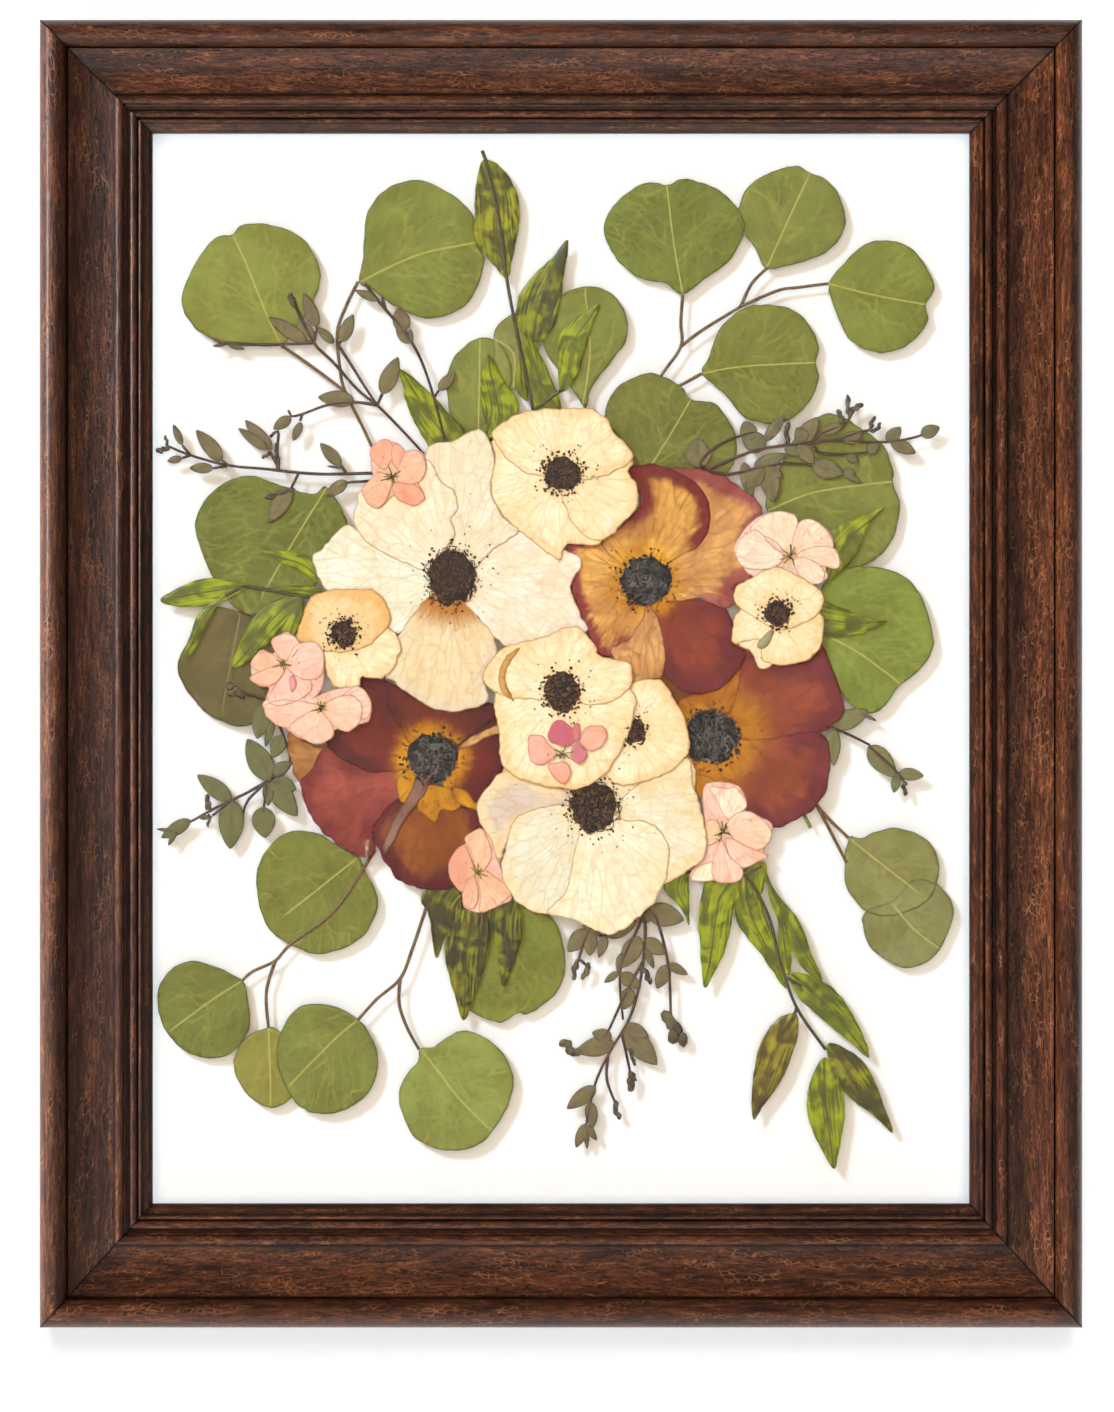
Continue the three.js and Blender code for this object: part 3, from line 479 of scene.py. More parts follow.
# %% Hardboard
hardboard, tree, output = new_material("white_faced_hardboard")
where = add(tree, "TexCoord")
fibres = add(tree, "TexNoise", {"Vector": where.outputs["Object"], "Scale": 900.0, "Detail": 4.0})
brown = add(
    tree, "ValToRGB", {0: fibres.outputs["Fac"]}, stops=[(0.3, "#6B4A30"), (0.7, "#96704C")]
)
tooth = add(tree, "TexNoise", {"Vector": where.outputs["Object"], "Scale": 1500.0, "Detail": 2.0})
paper = add(tree, "ValToRGB", {0: tooth.outputs["Fac"]}, stops=[(0.3, "#F7F6F3"), (0.7, "#FCFBF9")])
facing = add(tree, "NewGeometry")
facing_y = add(tree, "SeparateXYZ", {0: facing.outputs["Normal"]}).outputs["Y"]
is_front = add(tree, "Math", {0: facing_y, 1: -0.5}, operation="LESS_THAN")
fibre_bump = add(tree, "Bump", {"Height": fibres.outputs["Fac"], "Strength": 0.12, "Distance": 0.0003})
board = add(
    tree,
    "BsdfPrincipled",
    {
        "Base Color": add(
            tree, "Mix", {0: is_front, 6: brown.outputs[0], 7: paper.outputs[0]}, data_type="RGBA"
        ),
        "Roughness": 0.85,
        "Normal": fibre_bump.outputs[0],
    },
)
tree.links.new(board.outputs[0], output.inputs[0])
dress("backing_board", hardboard)

# %% Foam board
foam, tree, output = new_material("white_foam_board")
where = add(tree, "TexCoord")
cells = add(tree, "TexVoronoi", {"Vector": where.outputs["Object"], "Scale": 1600.0})
foam_tone = add(
    tree, "ValToRGB", {0: cells.outputs["Distance"]}, stops=[(0.0, "#E6E4DF"), (0.5, "#F6F5F1")]
)
foam_bump = add(
    tree, "Bump", {"Height": cells.outputs["Distance"], "Strength": 0.3, "Distance": 0.0002}
)
foam_face = add(
    tree,
    "BsdfPrincipled",
    {"Base Color": foam_tone.outputs[0], "Roughness": 0.8, "Normal": foam_bump.outputs[0]},
)
tree.links.new(foam_face.outputs[0], output.inputs[0])
for name in ("spacer_top", "spacer_bottom", "spacer_left", "spacer_right"):
    dress(name, foam)

# %% Steel
steel, tree, output = new_material("zinc_plated_sheet_steel")
where = add(tree, "TexCoord")
cloud = add(tree, "TexNoise", {"Vector": where.outputs["Object"], "Scale": 260.0, "Detail": 5.0})
zinc = add(tree, "ValToRGB", {0: cloud.outputs["Fac"]}, stops=[(0.3, "#9C9A93"), (0.7, "#C9C7C0")])
zinc_rough = add(tree, "MapRange", {0: cloud.outputs["Fac"], 3: 0.28, 4: 0.5})
sheet_steel = add(
    tree,
    "BsdfPrincipled",
    {"Base Color": zinc.outputs[0], "Metallic": 1.0, "Roughness": zinc_rough.outputs[0]},
)
tree.links.new(sheet_steel.outputs[0], output.inputs[0])
for corner in ("top_left", "top_right", "bottom_left", "bottom_right"):
    dress(f"flex_point_{corner}", steel)
dress("sawtooth_hanger", steel)

# %% Rubber
rubber, tree, output = new_material("moulded_black_rubber")
where = add(tree, "TexCoord")
dust = add(tree, "TexNoise", {"Vector": where.outputs["Object"], "Scale": 700.0, "Detail": 4.0})
black = add(tree, "ValToRGB", {0: dust.outputs["Fac"]}, stops=[(0.35, "#1E1D1C"), (0.75, "#3A3836")])
rubber_face = add(tree, "BsdfPrincipled", {"Base Color": black.outputs[0], "Roughness": 0.7})
tree.links.new(rubber_face.outputs[0], output.inputs[0])
dress("bumper_left", rubber)
dress("bumper_right", rubber)


# %% Hanger nails
def nail_head(x, z, radius=1.7):
    """Points and faces of a low domed nail head behind the wood, in millimetres."""
    rings = [(radius, -0.3), (radius, -0.6), (radius * 0.8, -0.95), (radius * 0.4, -1.15)]
    sides = 16
    turns = [2 * math.pi * i / sides for i in range(sides)]
    points = [
        (x + math.cos(t) * r, front(h - 0.8), z + math.sin(t) * r) for r, h in rings for t in turns
    ]
    faces = [
        (
            k * sides + i,
            k * sides + (i + 1) % sides,
            (k + 1) * sides + (i + 1) % sides,
            (k + 1) * sides + i,
        )
        for k in range(len(rings) - 1)
        for i in range(sides)
    ]
    last = (len(rings) - 1) * sides
    faces += [tuple(range(sides))[::-1], tuple(range(last, last + sides))]
    return points, faces


hanger_low, hanger_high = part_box("sawtooth_hanger")
hanger_z = (hanger_low.z + hanger_high.z) * 500
for word, x in (("left", hanger_low.x * 1000 + 4), ("right", hanger_high.x * 1000 - 4)):
    make_object(f"hanger_nail_{word}", *nail_head(x, hanger_z), [steel], "steel")
print("hardware dressed")

# %% [markdown]
# ## How a pressed leaf is made
# A leaf starts as the outline that was read off the photograph. A smooth closed curve goes
# through its points, a net of triangles fills it, and the net is then lifted a few hundredths of
# a millimetre: it waves as dry leaves do, its midrib stands up and its rim curls. The mesh also
# stores where each point lies along and across the leaf and how far it is from the rim, because
# the materials draw the veins and the dark rim from those numbers.


# %% Curves and nets
def smooth_curve(points, closed, step):
    """A smooth line through the points, with a point about every step millimetres."""
    count = len(points)
    line = []
    for i in range(count if closed else count - 1):
        if closed:
            a, b, c, d = (points[(i + k) % count] for k in (-1, 0, 1, 2))
        else:
            a, b, c, d = (points[min(max(i + k, 0), count - 1)] for k in (-1, 0, 1, 2))
        parts_here = max(1, round(math.dist(b, c) / step))
        for j in range(parts_here):
            t = j / parts_here
            line.append(
                tuple(
                    0.5 * (2 * q + (r - p) * t + (2 * p - 5 * q + 4 * r - s) * t * t
                           + (3 * q - p - 3 * r + s) * t ** 3)
                    for p, q, r, s in zip(a, b, c, d)
                )
            )
    if not closed:
        line.append(tuple(points[-1]))
    return line


def distance_to_line(spots, line, closed=False):
    """For each spot: its distance to the line, and how far along the line its nearest point is."""
    starts = np.array(line)
    ends = np.roll(starts, -1, axis=0) if closed else starts[1:]
    starts = starts if closed else starts[:-1]
    run = ends - starts
    lengths = np.maximum(np.linalg.norm(run, axis=1), 1e-9)
    share = np.einsum("nmk,mk->nm", spots[:, None] - starts, run) / lengths ** 2
    share = np.clip(share, 0, 1)
    gap = spots[:, None] - (starts + share[..., None] * run)
    distance = np.linalg.norm(gap, axis=2)
    nearest = distance.argmin(axis=1)
    rows = np.arange(len(spots))
    before = np.concatenate([[0], np.cumsum(lengths)[:-1]])
    turn = run[nearest][:, 0] * gap[rows, nearest][:, 1] - run[nearest][:, 1] * gap[rows, nearest][:, 0]
    return (
        distance[rows, nearest],
        before[nearest] + share[rows, nearest] * lengths[nearest],
        np.sign(turn),
    )


def inside(spots, outline):
    """Which spots lie inside the outline."""
    x, y = spots[:, 0], spots[:, 1]
    result = np.zeros(len(spots), bool)
    for (x1, y1), (x2, y2) in zip(outline, outline[1:] + outline[:1]):
        if y1 != y2:
            crosses = (y1 > y) != (y2 > y)
            result ^= crosses & (x < (x2 - x1) * (y - y1) / (y2 - y1) + x1)
    return result


def net(outline, step, extra=()):
    """Fills an outline with triangles, through a staggered grid and any extra points."""
    edge = np.array(outline)
    low, high = edge.min(axis=0), edge.max(axis=0)
    rows = np.arange(low[1], high[1], step * 0.87)
    grid = [
        (x + (step / 2 if k % 2 else 0), y)
        for k, y in enumerate(rows)
        for x in np.arange(low[0], high[0], step)
    ]
    spots = np.array([*extra, *grid]) if len(extra) else np.array(grid)
    if len(extra):
        near = distance_to_line(spots[len(extra):], list(extra))[0] < step * 0.45
        spots = np.concatenate([spots[: len(extra)], spots[len(extra):][~near]])
    spots = spots[inside(spots, outline)]
    if len(spots):
        spots = spots[distance_to_line(spots, outline, closed=True)[0] > step * 0.4]
    every = [Vector(p) for p in (*outline, *map(tuple, spots))]
    ring = list(range(len(outline)))
    made = geometry.delaunay_2d_cdt(every, [], [ring], 1, 1e-5)
    return np.array([tuple(v) for v in made[0]]), [tuple(f) for f in made[2]]


# %% One blade
class Blades:
    """Gathers the blades, stems and seeds of one specimen into one mesh."""

    def __init__(self, base):
        self.base = base
        self.points, self.faces, self.slots, self.smooth = [], [], [], []
        self.lay, self.rim, self.band = [], [], []
        self.tint, self.middle, self.heart = [], [], []

    def put(self, points, faces, slot, lay, rim, tint, middle=None, heart=None, flat=0, band=0.0):
        """Adds points and faces, of which the last few may be flat, with their colours."""
        start = len(self.points)
        self.smooth.extend([True] * (len(faces) - flat) + [False] * flat)
        self.points.extend(points)
        self.faces.extend(tuple(i + start for i in f) for f in faces)
        self.slots.extend([slot] * len(faces))
        self.lay.extend(lay)
        self.rim.extend(rim)
        self.band.extend([band] * len(points))
        self.tint.extend([linear(tint)] * len(points))
        self.middle.extend([linear(middle or tint)] * len(points))
        self.heart.extend([linear(heart or tint)] * len(points))

    def sheet(self, outline, slot, height, lay, tint, middle=None, heart=None, step=1.3, seed=0,
              wave=0.12, curl=0.12, ridge=None, thickness=0.12, band=0.0):
        """A thin leaf or petal: a front and a back net, sewn together round the rim.
        lay(spots) says where each spot lies on the leaf, for its material."""
        ridge_line = smooth_curve(ridge, False, step) if ridge else []
        spots, triangles = net(outline, step, ridge_line[1:-1])
        rim = distance_to_line(spots, outline, closed=True)[0]
        waves = np.array([noise.noise(Vector((x * 0.09, y * 0.09, seed * 7.3))) for x, y in spots])
        lift = height + wave * waves * np.minimum(1, rim / 3 + 0.3) + curl * np.exp(-rim / 1.2)
        if ridge:
            lift += 0.16 * np.exp(-((distance_to_line(spots, ridge_line)[0] / 0.8) ** 2))
        count = len(spots)
        tops = [(x, front(self.base + h), y) for (x, y), h in zip(spots, lift)]
        thin = thickness * np.minimum(1, 0.4 + rim / 1.5)
        backs = [(x, front(self.base + h - t), y) for (x, y), h, t in zip(spots, lift, thin)]
        flat = {}
        for f in triangles:
            for a, b in zip(f, f[1:] + f[:1]):
                flat[(a, b)] = True
        open_edges = [(a, b) for a, b in flat if (b, a) not in flat]
        faces = [*triangles]
        faces += [tuple(count + i for i in f[::-1]) for f in triangles]
        faces += [(b, a, a + count, b + count) for a, b in open_edges]
        where = lay(spots)
        self.put(
            tops + backs, faces, slot, [*where, *where], [*rim, *rim], tint, middle, heart,
            flat=len(open_edges), band=band,
        )

    def stem(self, text, slot, height, width, tint, flat=0.5, taper=0.85):
        """A flattened stem along a smooth line, tapering, its width varied a little at random."""
        line = smooth_curve(read_points(text) if isinstance(text, str) else text, False, 1.5)
        sides = 8
        rings, lay = [], []
        for i, (x, y) in enumerate(line):
            before, after = line[max(i - 1, 0)], line[min(i + 1, len(line) - 1)]
            dx, dy = after[0] - before[0], after[1] - before[1]
            size = math.hypot(dx, dy) or 1.0
            share = i / max(1, len(line) - 1)
            grown = 1 + 0.12 * noise.noise(Vector((x * 0.4, y * 0.4, 3.1)))
            radius = width / 2 * (1 - (1 - taper) * share) * grown
            for k in range(sides):
                turn = 2 * math.pi * k / sides
                out, up = math.cos(turn) * radius, math.sin(turn) * radius * flat
                rings.append((x - dy / size * out, front(self.base + height + up), y + dx / size * out))
                lay.append((i * 1.5, math.cos(turn), share))
        faces = []
        for i in range(len(line) - 1):
            for k in range(sides):
                j = (k + 1) % sides
                faces.append((i * sides + k, (i + 1) * sides + k, (i + 1) * sides + j, i * sides + j))
        last = (len(line) - 1) * sides
        faces += [tuple(range(sides)), tuple(range(last, last + sides))[::-1]]
        self.put(rings, faces, slot, lay, [1.0] * len(rings), tint)

    def lump(self, x, y, height, rx, ry, rz, slot, tint, turn=0.0, rows=4, sides=8, rough=0.0, seed=0):
        """A small rounded body such as a bud, an anther or a seed."""
        ring_points, lay = [(x, front(self.base + height + rz), y)], [(0, 0, 1)]
        for i in range(1, rows):
            tilt = math.pi * i / rows
            for k in range(sides):
                around = 2 * math.pi * k / sides
                bump = 1 + rough * noise.noise(Vector((k * 1.7 + seed, i * 2.3, seed * 0.7)))
                a = math.cos(around) * math.sin(tilt) * rx * bump
                b = math.sin(around) * math.sin(tilt) * ry * bump
                px_, py_ = (
                    a * math.cos(turn) - b * math.sin(turn),
                    a * math.sin(turn) + b * math.cos(turn),
                )
                ring_points.append(
                    (x + px_, front(self.base + height + math.cos(tilt) * rz * bump), y + py_)
                )
                lay.append((around, tilt, 0.5))
        ring_points.append((x, front(self.base + height - rz), y))
        lay.append((0, 0, 0))
        faces = []
        for k in range(sides):
            j = (k + 1) % sides
            faces.append((0, 1 + k, 1 + j))
            for i in range(rows - 2):
                a = 1 + i * sides
                faces.append((a + k, a + sides + k, a + sides + j, a + j))
            faces.append((len(ring_points) - 1, 1 + (rows - 2) * sides + j, 1 + (rows - 2) * sides + k))
        self.put(ring_points, faces, slot, lay, [1.0] * len(ring_points), tint)

    def finish(self, name, node, materials, slot):
        """Makes the piece and lets it stand for its measured node."""
        piece = make_object(name, self.points, self.faces, materials, slot)
        piece.data.polygons.foreach_set("material_index", self.slots)
        piece.data.polygons.foreach_set("use_smooth", self.smooth)
        set_attribute(piece, "lay", "FLOAT_VECTOR", self.lay)
        set_attribute(piece, "rim", "FLOAT", self.rim)
        set_attribute(piece, "band", "FLOAT", self.band)
        for word, colours in (("tint", self.tint), ("middle", self.middle), ("heart", self.heart)):
            layer = piece.data.color_attributes.new(word, "FLOAT_COLOR", "POINT")
            layer.data.foreach_set("color", np.ravel(colours))
        piece.data.validate()
        if node:
            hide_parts(node)
        print(name, len(self.faces), "faces")
        return piece


# %% [markdown]
# ## Places of the layers
# The specimens lie on the back pane in thin layers, the leaves lowest and the small flowers on
# top. The layers are those of the measured model, so each fine piece lies where its plain one did.

# %% Layers

def layer_of(node):
    """The height of a measured piece's back above the back of the wood, in millimetres."""
    return WOOD_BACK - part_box(node)[1].y * 1000


def midrib_of(outline):
    """A line from the leaf's first point to its far end, through the middle of its width."""
    edge = np.array(outline)
    base = edge[0]
    tip = edge[np.linalg.norm(edge - base, axis=1).argmax()]
    axis = (tip - base) / np.linalg.norm(tip - base)
    side_way = np.array([-axis[1], axis[0]])
    along, offset = (edge - base) @ axis, (edge - base) @ side_way
    length = np.linalg.norm(tip - base)
    line = [tuple(base)]
    for share in (0.2, 0.4, 0.6, 0.8):
        near = np.abs(along - share * length) < 0.06 * length
        middle = (offset[near].min() + offset[near].max()) / 2 * min(1, 2.2 * share * (1.25 - share))
        line.append(tuple(base + axis * share * length + side_way * middle))
    line.append(tuple(tip))
    return line


def leaf_lay(midrib):
    """Says where a spot lies on a leaf: along its midrib, and across from it."""
    line = smooth_curve(midrib, False, 1.0)

    def lay(spots):
        away, along, turn = distance_to_line(spots, line)
        return [(a, d * t, 0.0) for a, d, t in zip(along, away, turn)]

    return lay


def petal_lay(centre, zone):
    """Says where a spot lies on a flower: its offset from the centre, and the heart's radius."""
    cx, cy = centre

    def lay(spots):
        return [(x - cx, y - cy, zone) for x, y in spots]

    return lay


# %% [markdown]
# ## Leaves and bark
# A pressed eucalyptus leaf is matt olive with a pale midrib, side veins that leave it at a slant,
# a fine net between them, a thin dark rim and some specks. Ruscus dries glossy and blistered, dark
# green with yellow-green patches and fine lines from base to tip. The small twig leaves turn grey
# brown. All three draw these from where a point lies on its leaf, so that the marks follow it.


# %% Material parts
def spot_sockets(tree):
    """The sockets that say where a point lies on its leaf or petal."""
    lay = add(tree, "Attribute", attribute_name="lay").outputs["Vector"]
    rim = add(tree, "Attribute", attribute_name="rim").outputs["Fac"]
    tint = add(tree, "Attribute", attribute_name="tint").outputs["Color"]
    return lay, rim, tint, add(tree, "TexCoord").outputs["Object"]


def line_mask(tree, distance, width, soft):
    """One inside a line of this half width, falling to zero over the soft distance."""
    mask = add(
        tree,
        "MapRange",
        {0: distance, 1: width, 2: width + soft, 3: 1.0, 4: 0.0},
        interpolation_type="SMOOTHSTEP",
    )
    return mask.outputs[0]


def scattered_specks(tree, place_at, per_mm, radius, share):
    """Round specks at random places: one in each few cells of a loose net."""
    cells = add(tree, "TexVoronoi", {"Vector": place_at, "Scale": per_mm * 1000})
    picked = add(tree, "SeparateColor", {0: cells.outputs["Color"]}).outputs[0]
    size = add(
        tree,
        "Math",
        {0: add(tree, "Math", {0: picked, 1: share}, operation="LESS_THAN"), 1: radius},
        operation="MULTIPLY",
    )
    reach = add(tree, "Math", {0: cells.outputs["Distance"], 1: per_mm}, operation="DIVIDE")
    near = add(tree, "Math", {0: size, 1: reach}, operation="SUBTRACT")
    return add(tree, "MapRange", {0: near, 1: 0.0, 2: 0.12}).outputs[0]


def ridge_lines(tree, noise_socket, width):
    """Thin lines where a noise crosses its middle value."""
    gap = add(
        tree,
        "Math",
        {0: add(tree, "Math", {0: noise_socket, 1: 0.5}, operation="SUBTRACT")},
        operation="ABSOLUTE",
    )
    return line_mask(tree, gap, width * 0.3, width)


# %% Eucalyptus
def eucalyptus_material(name, vein, mottle_dark, rim_colour):
    made, tree, output = new_material(name)
    lay, rim, tint, here = spot_sockets(tree)
    along, across, _ = add(tree, "SeparateXYZ", {0: lay}).outputs
    away = add(tree, "Math", {0: across}, operation="ABSOLUTE")
    clouds = add(tree, "TexNoise", {"Vector": here, "Scale": 95.0, "Detail": 3.0})
    wander = add(tree, "Math", {0: clouds.outputs["Fac"], 1: 9.0}, operation="MULTIPLY")
    slant = add(
        tree,
        "Math",
        {0: away, 1: -0.7, 2: add(tree, "Math", {0: along, 1: wander}, operation="ADD")},
        operation="MULTIPLY_ADD",
    )
    branch_at = add(
        tree,
        "CombineXYZ",
        {
            0: add(tree, "Math", {0: slant, 1: 0.24}, operation="MULTIPLY"),
            1: add(tree, "Math", {0: across, 1: 0.1}, operation="MULTIPLY"),
        },
    )
    branches = add(
        tree, "TexVoronoi", {"Vector": branch_at.outputs[0], "Scale": 1.0}, feature="DISTANCE_TO_EDGE"
    )
    side_veins = line_mask(tree, branches.outputs["Distance"], 0.012, 0.035)
    nets = add(
        tree, "TexVoronoi", {"Vector": here, "Scale": 330.0}, feature="DISTANCE_TO_EDGE"
    )
    net_lines = line_mask(tree, nets.outputs["Distance"], 0.02, 0.06)
    midrib = line_mask(tree, away, 0.08, 0.28)
    mottle = add(
        tree, "ValToRGB", {0: clouds.outputs["Fac"]}, stops=[(0.36, mottle_dark), (0.62, "#FFFFFF")]
    )
    body = add(
        tree, "Mix", {0: 0.6, 6: tint, 7: mottle.outputs[0]}, data_type="RGBA", blend_type="MULTIPLY"
    )
    fine = add(tree, "TexNoise", {"Vector": here, "Scale": 900.0, "Detail": 4.0, "Roughness": 0.7})
    grains = add(tree, "ValToRGB", {0: fine.outputs["Fac"]}, stops=[(0.3, "#B9B9AC"), (0.7, "#FFFFFF")])
    body = add(
        tree, "Mix", {0: 0.7, 6: body, 7: grains.outputs[0]}, data_type="RGBA", blend_type="MULTIPLY"
    )
    body = add(
        tree,
        "Mix",
        {0: add(tree, "Math", {0: net_lines, 1: 0.12}, operation="MULTIPLY"), 6: body, 7: vein},
        data_type="RGBA",
    )
    body = add(
        tree,
        "Mix",
        {0: add(tree, "Math", {0: side_veins, 1: 0.22}, operation="MULTIPLY"), 6: body, 7: vein},
        data_type="RGBA",
    )
    body = add(
        tree,
        "Mix",
        {0: add(tree, "Math", {0: midrib, 1: 0.75}, operation="MULTIPLY"), 6: body, 7: vein},
        data_type="RGBA",
    )
    pale = scattered_specks(tree, here, 0.22, 0.22, 0.25)
    body = add(
        tree,
        "Mix",
        {0: add(tree, "Math", {0: pale, 1: 0.5}, operation="MULTIPLY"), 6: body, 7: "#C9CC8C"},
        data_type="RGBA",
    )
    shifted = add(tree, "VectorMath", {0: here, 1: (0.37, 0.1, 0.7)}, operation="ADD").outputs[0]
    dark = scattered_specks(tree, shifted, 0.25, 0.26, 0.35)
    body = add(
        tree,
        "Mix",
        {0: add(tree, "Math", {0: dark, 1: 0.75}, operation="MULTIPLY"), 6: body, 7: "#3C3A1E"},
        data_type="RGBA",
    )
    edge = line_mask(tree, rim, 0.1, 0.35)
    body = add(
        tree,
        "Mix",
        {0: add(tree, "Math", {0: edge, 1: 0.8}, operation="MULTIPLY"), 6: body, 7: rim_colour},
        data_type="RGBA",
    )
    height = add(
        tree,
        "Math",
        {
            0: add(tree, "Math", {0: side_veins, 1: 0.6}, operation="MULTIPLY"),
            1: add(tree, "Math", {0: fine.outputs["Fac"], 1: 0.5}, operation="MULTIPLY"),
        },
        operation="ADD",
    )
    relief = add(tree, "Bump", {"Height": height, "Strength": 0.35, "Distance": 0.0001})
    face = add(
        tree,
        "BsdfPrincipled",
        {
            "Base Color": body,
            "Roughness": 0.62,
            "Normal": relief.outputs[0],
            "IOR": 1.45,
            "Specular IOR Level": 0.3,
        },
    )
    tree.links.new(face.outputs[0], output.inputs[0])
    return made


eucalyptus = eucalyptus_material("dried_eucalyptus_leaf", "#BDB25E", "#C8C490", "#4A4C16")
brown_eucalyptus = eucalyptus_material("browned_eucalyptus_leaf", "#8E8458", "#B8B0A0", "#3E3624")


# %% Ruscus
ruscus, tree, output = new_material("glossy_dried_ruscus_leaf")
lay, rim, tint, here = spot_sockets(tree)
along, across, _ = add(tree, "SeparateXYZ", {0: lay}).outputs
away = add(tree, "Math", {0: across}, operation="ABSOLUTE")
blisters = add(tree, "TexNoise", {"Vector": here, "Scale": 170.0, "Detail": 3.5, "Distortion": 0.9})
line_at = add(
    tree, "CombineXYZ", {0: add(tree, "Math", {0: along, 1: 0.04}, operation="MULTIPLY"), 1: across}
)
lengthwise = add(tree, "TexNoise", {"Vector": line_at.outputs[0], "Scale": 1.6, "Detail": 3.0})
patchy = add(
    tree,
    "Math",
    {
        0: add(tree, "Math", {0: blisters.outputs["Fac"], 1: 0.55}, operation="MULTIPLY"),
        1: add(tree, "Math", {0: lengthwise.outputs["Fac"], 1: 0.45}, operation="MULTIPLY"),
    },
    operation="ADD",
)
green = add(
    tree,
    "ValToRGB",
    {0: patchy},
    stops=[(0.38, "#7C8468"), (0.48, "#AEB48A"), (0.55, "#E6EAC0"), (0.62, "#FFFFFF")],
)
leaf_body = add(
    tree, "Mix", {0: 1.0, 6: tint, 7: green.outputs[0]}, data_type="RGBA", blend_type="MULTIPLY"
)
bright = add(tree, "MapRange", {0: patchy, 1: 0.48, 2: 0.6})
leaf_body = add(
    tree,
    "Mix",
    {
        0: add(tree, "Math", {0: bright.outputs[0], 1: 0.5}, operation="MULTIPLY"),
        6: leaf_body,
        7: "#AAB404",
    },
    data_type="RGBA",
)
leaf_body = add(
    tree,
    "Mix",
    {
        0: add(tree, "Math", {0: line_mask(tree, away, 0.15, 0.4), 1: 0.75}, operation="MULTIPLY"),
        6: leaf_body,
        7: "#3A3410",
    },
    data_type="RGBA",
)
leaf_body = add(
    tree,
    "Mix",
    {
        0: add(tree, "Math", {0: line_mask(tree, rim, 0.08, 0.35), 1: 0.3}, operation="MULTIPLY"),
        6: leaf_body,
        7: "#8A9430",
    },
    data_type="RGBA",
)
blister_height = add(
    tree,
    "Math",
    {
        0: blisters.outputs["Fac"],
        1: add(tree, "Math", {0: lengthwise.outputs["Fac"], 1: 0.4}, operation="MULTIPLY"),
    },
    operation="ADD",
)
blister_relief = add(tree, "Bump", {"Height": blister_height, "Strength": 0.6, "Distance": 0.0009})
ruscus_face = add(
    tree,
    "BsdfPrincipled",
    {"Base Color": leaf_body, "Roughness": 0.3, "Normal": blister_relief.outputs[0], "IOR": 1.45,
     "Specular IOR Level": 0.32},
)
tree.links.new(ruscus_face.outputs[0], output.inputs[0])


# %% Twig leaves and bark
twig_leaf, tree, output = new_material("dried_grey_twig_leaf")
lay, rim, tint, here = spot_sockets(tree)
along, across, _ = add(tree, "SeparateXYZ", {0: lay}).outputs
away = add(tree, "Math", {0: across}, operation="ABSOLUTE")
mealy = add(tree, "TexNoise", {"Vector": here, "Scale": 520.0, "Detail": 4.0, "Roughness": 0.65})
meal = add(tree, "ValToRGB", {0: mealy.outputs["Fac"]}, stops=[(0.3, "#A8A298"), (0.7, "#FFFFFF")])
twig_body = add(
    tree, "Mix", {0: 0.9, 6: tint, 7: meal.outputs[0]}, data_type="RGBA", blend_type="MULTIPLY"
)
twig_body = add(
    tree,
    "Mix",
    {
        0: add(tree, "Math", {0: line_mask(tree, away, 0.06, 0.22), 1: 0.6}, operation="MULTIPLY"),
        6: twig_body,
        7: "#3C3526",
    },
    data_type="RGBA",
)
twig_body = add(
    tree,
    "Mix",
    {
        0: add(tree, "Math", {0: line_mask(tree, rim, 0.06, 0.5), 1: 0.6}, operation="MULTIPLY"),
        6: twig_body,
        7: "#3A3326",
    },
    data_type="RGBA",
)
twig_face = add(tree, "BsdfPrincipled", {"Base Color": twig_body, "Roughness": 0.6, "IOR": 1.45})
tree.links.new(twig_face.outputs[0], output.inputs[0])

bark, tree, output = new_material("dried_stem_bark")
lay, rim, tint, here = spot_sockets(tree)
fibres = add(tree, "TexNoise", {"Vector": here, "Scale": 800.0, "Detail": 4.0})
bark_tone = add(
    tree, "ValToRGB", {0: fibres.outputs["Fac"]}, stops=[(0.3, "#8C8480"), (0.7, "#FFFFFF")]
)
bark_body = add(
    tree, "Mix", {0: 1.0, 6: tint, 7: bark_tone.outputs[0]}, data_type="RGBA", blend_type="MULTIPLY"
)
bark_relief = add(tree, "Bump", {"Height": fibres.outputs["Fac"], "Strength": 0.5, "Distance": 0.0002})
bark_face = add(
    tree,
    "BsdfPrincipled",
    {"Base Color": bark_body, "Roughness": 0.5, "Normal": bark_relief.outputs[0], "IOR": 1.45},
)
tree.links.new(bark_face.outputs[0], output.inputs[0])
print("leaf materials made")

# %% [markdown]
# ## Petals
# A pressed petal is thin and matt. The cream ones show branching peach veins that spread from the
# flower's middle, a faint amber rim and a few dark grains of pollen. The pansy-like ones have a
# yellow heart that runs out in streaks into maroon. The same number does both: how far a point
# lies from the flower's middle, with streaks added along the rays.


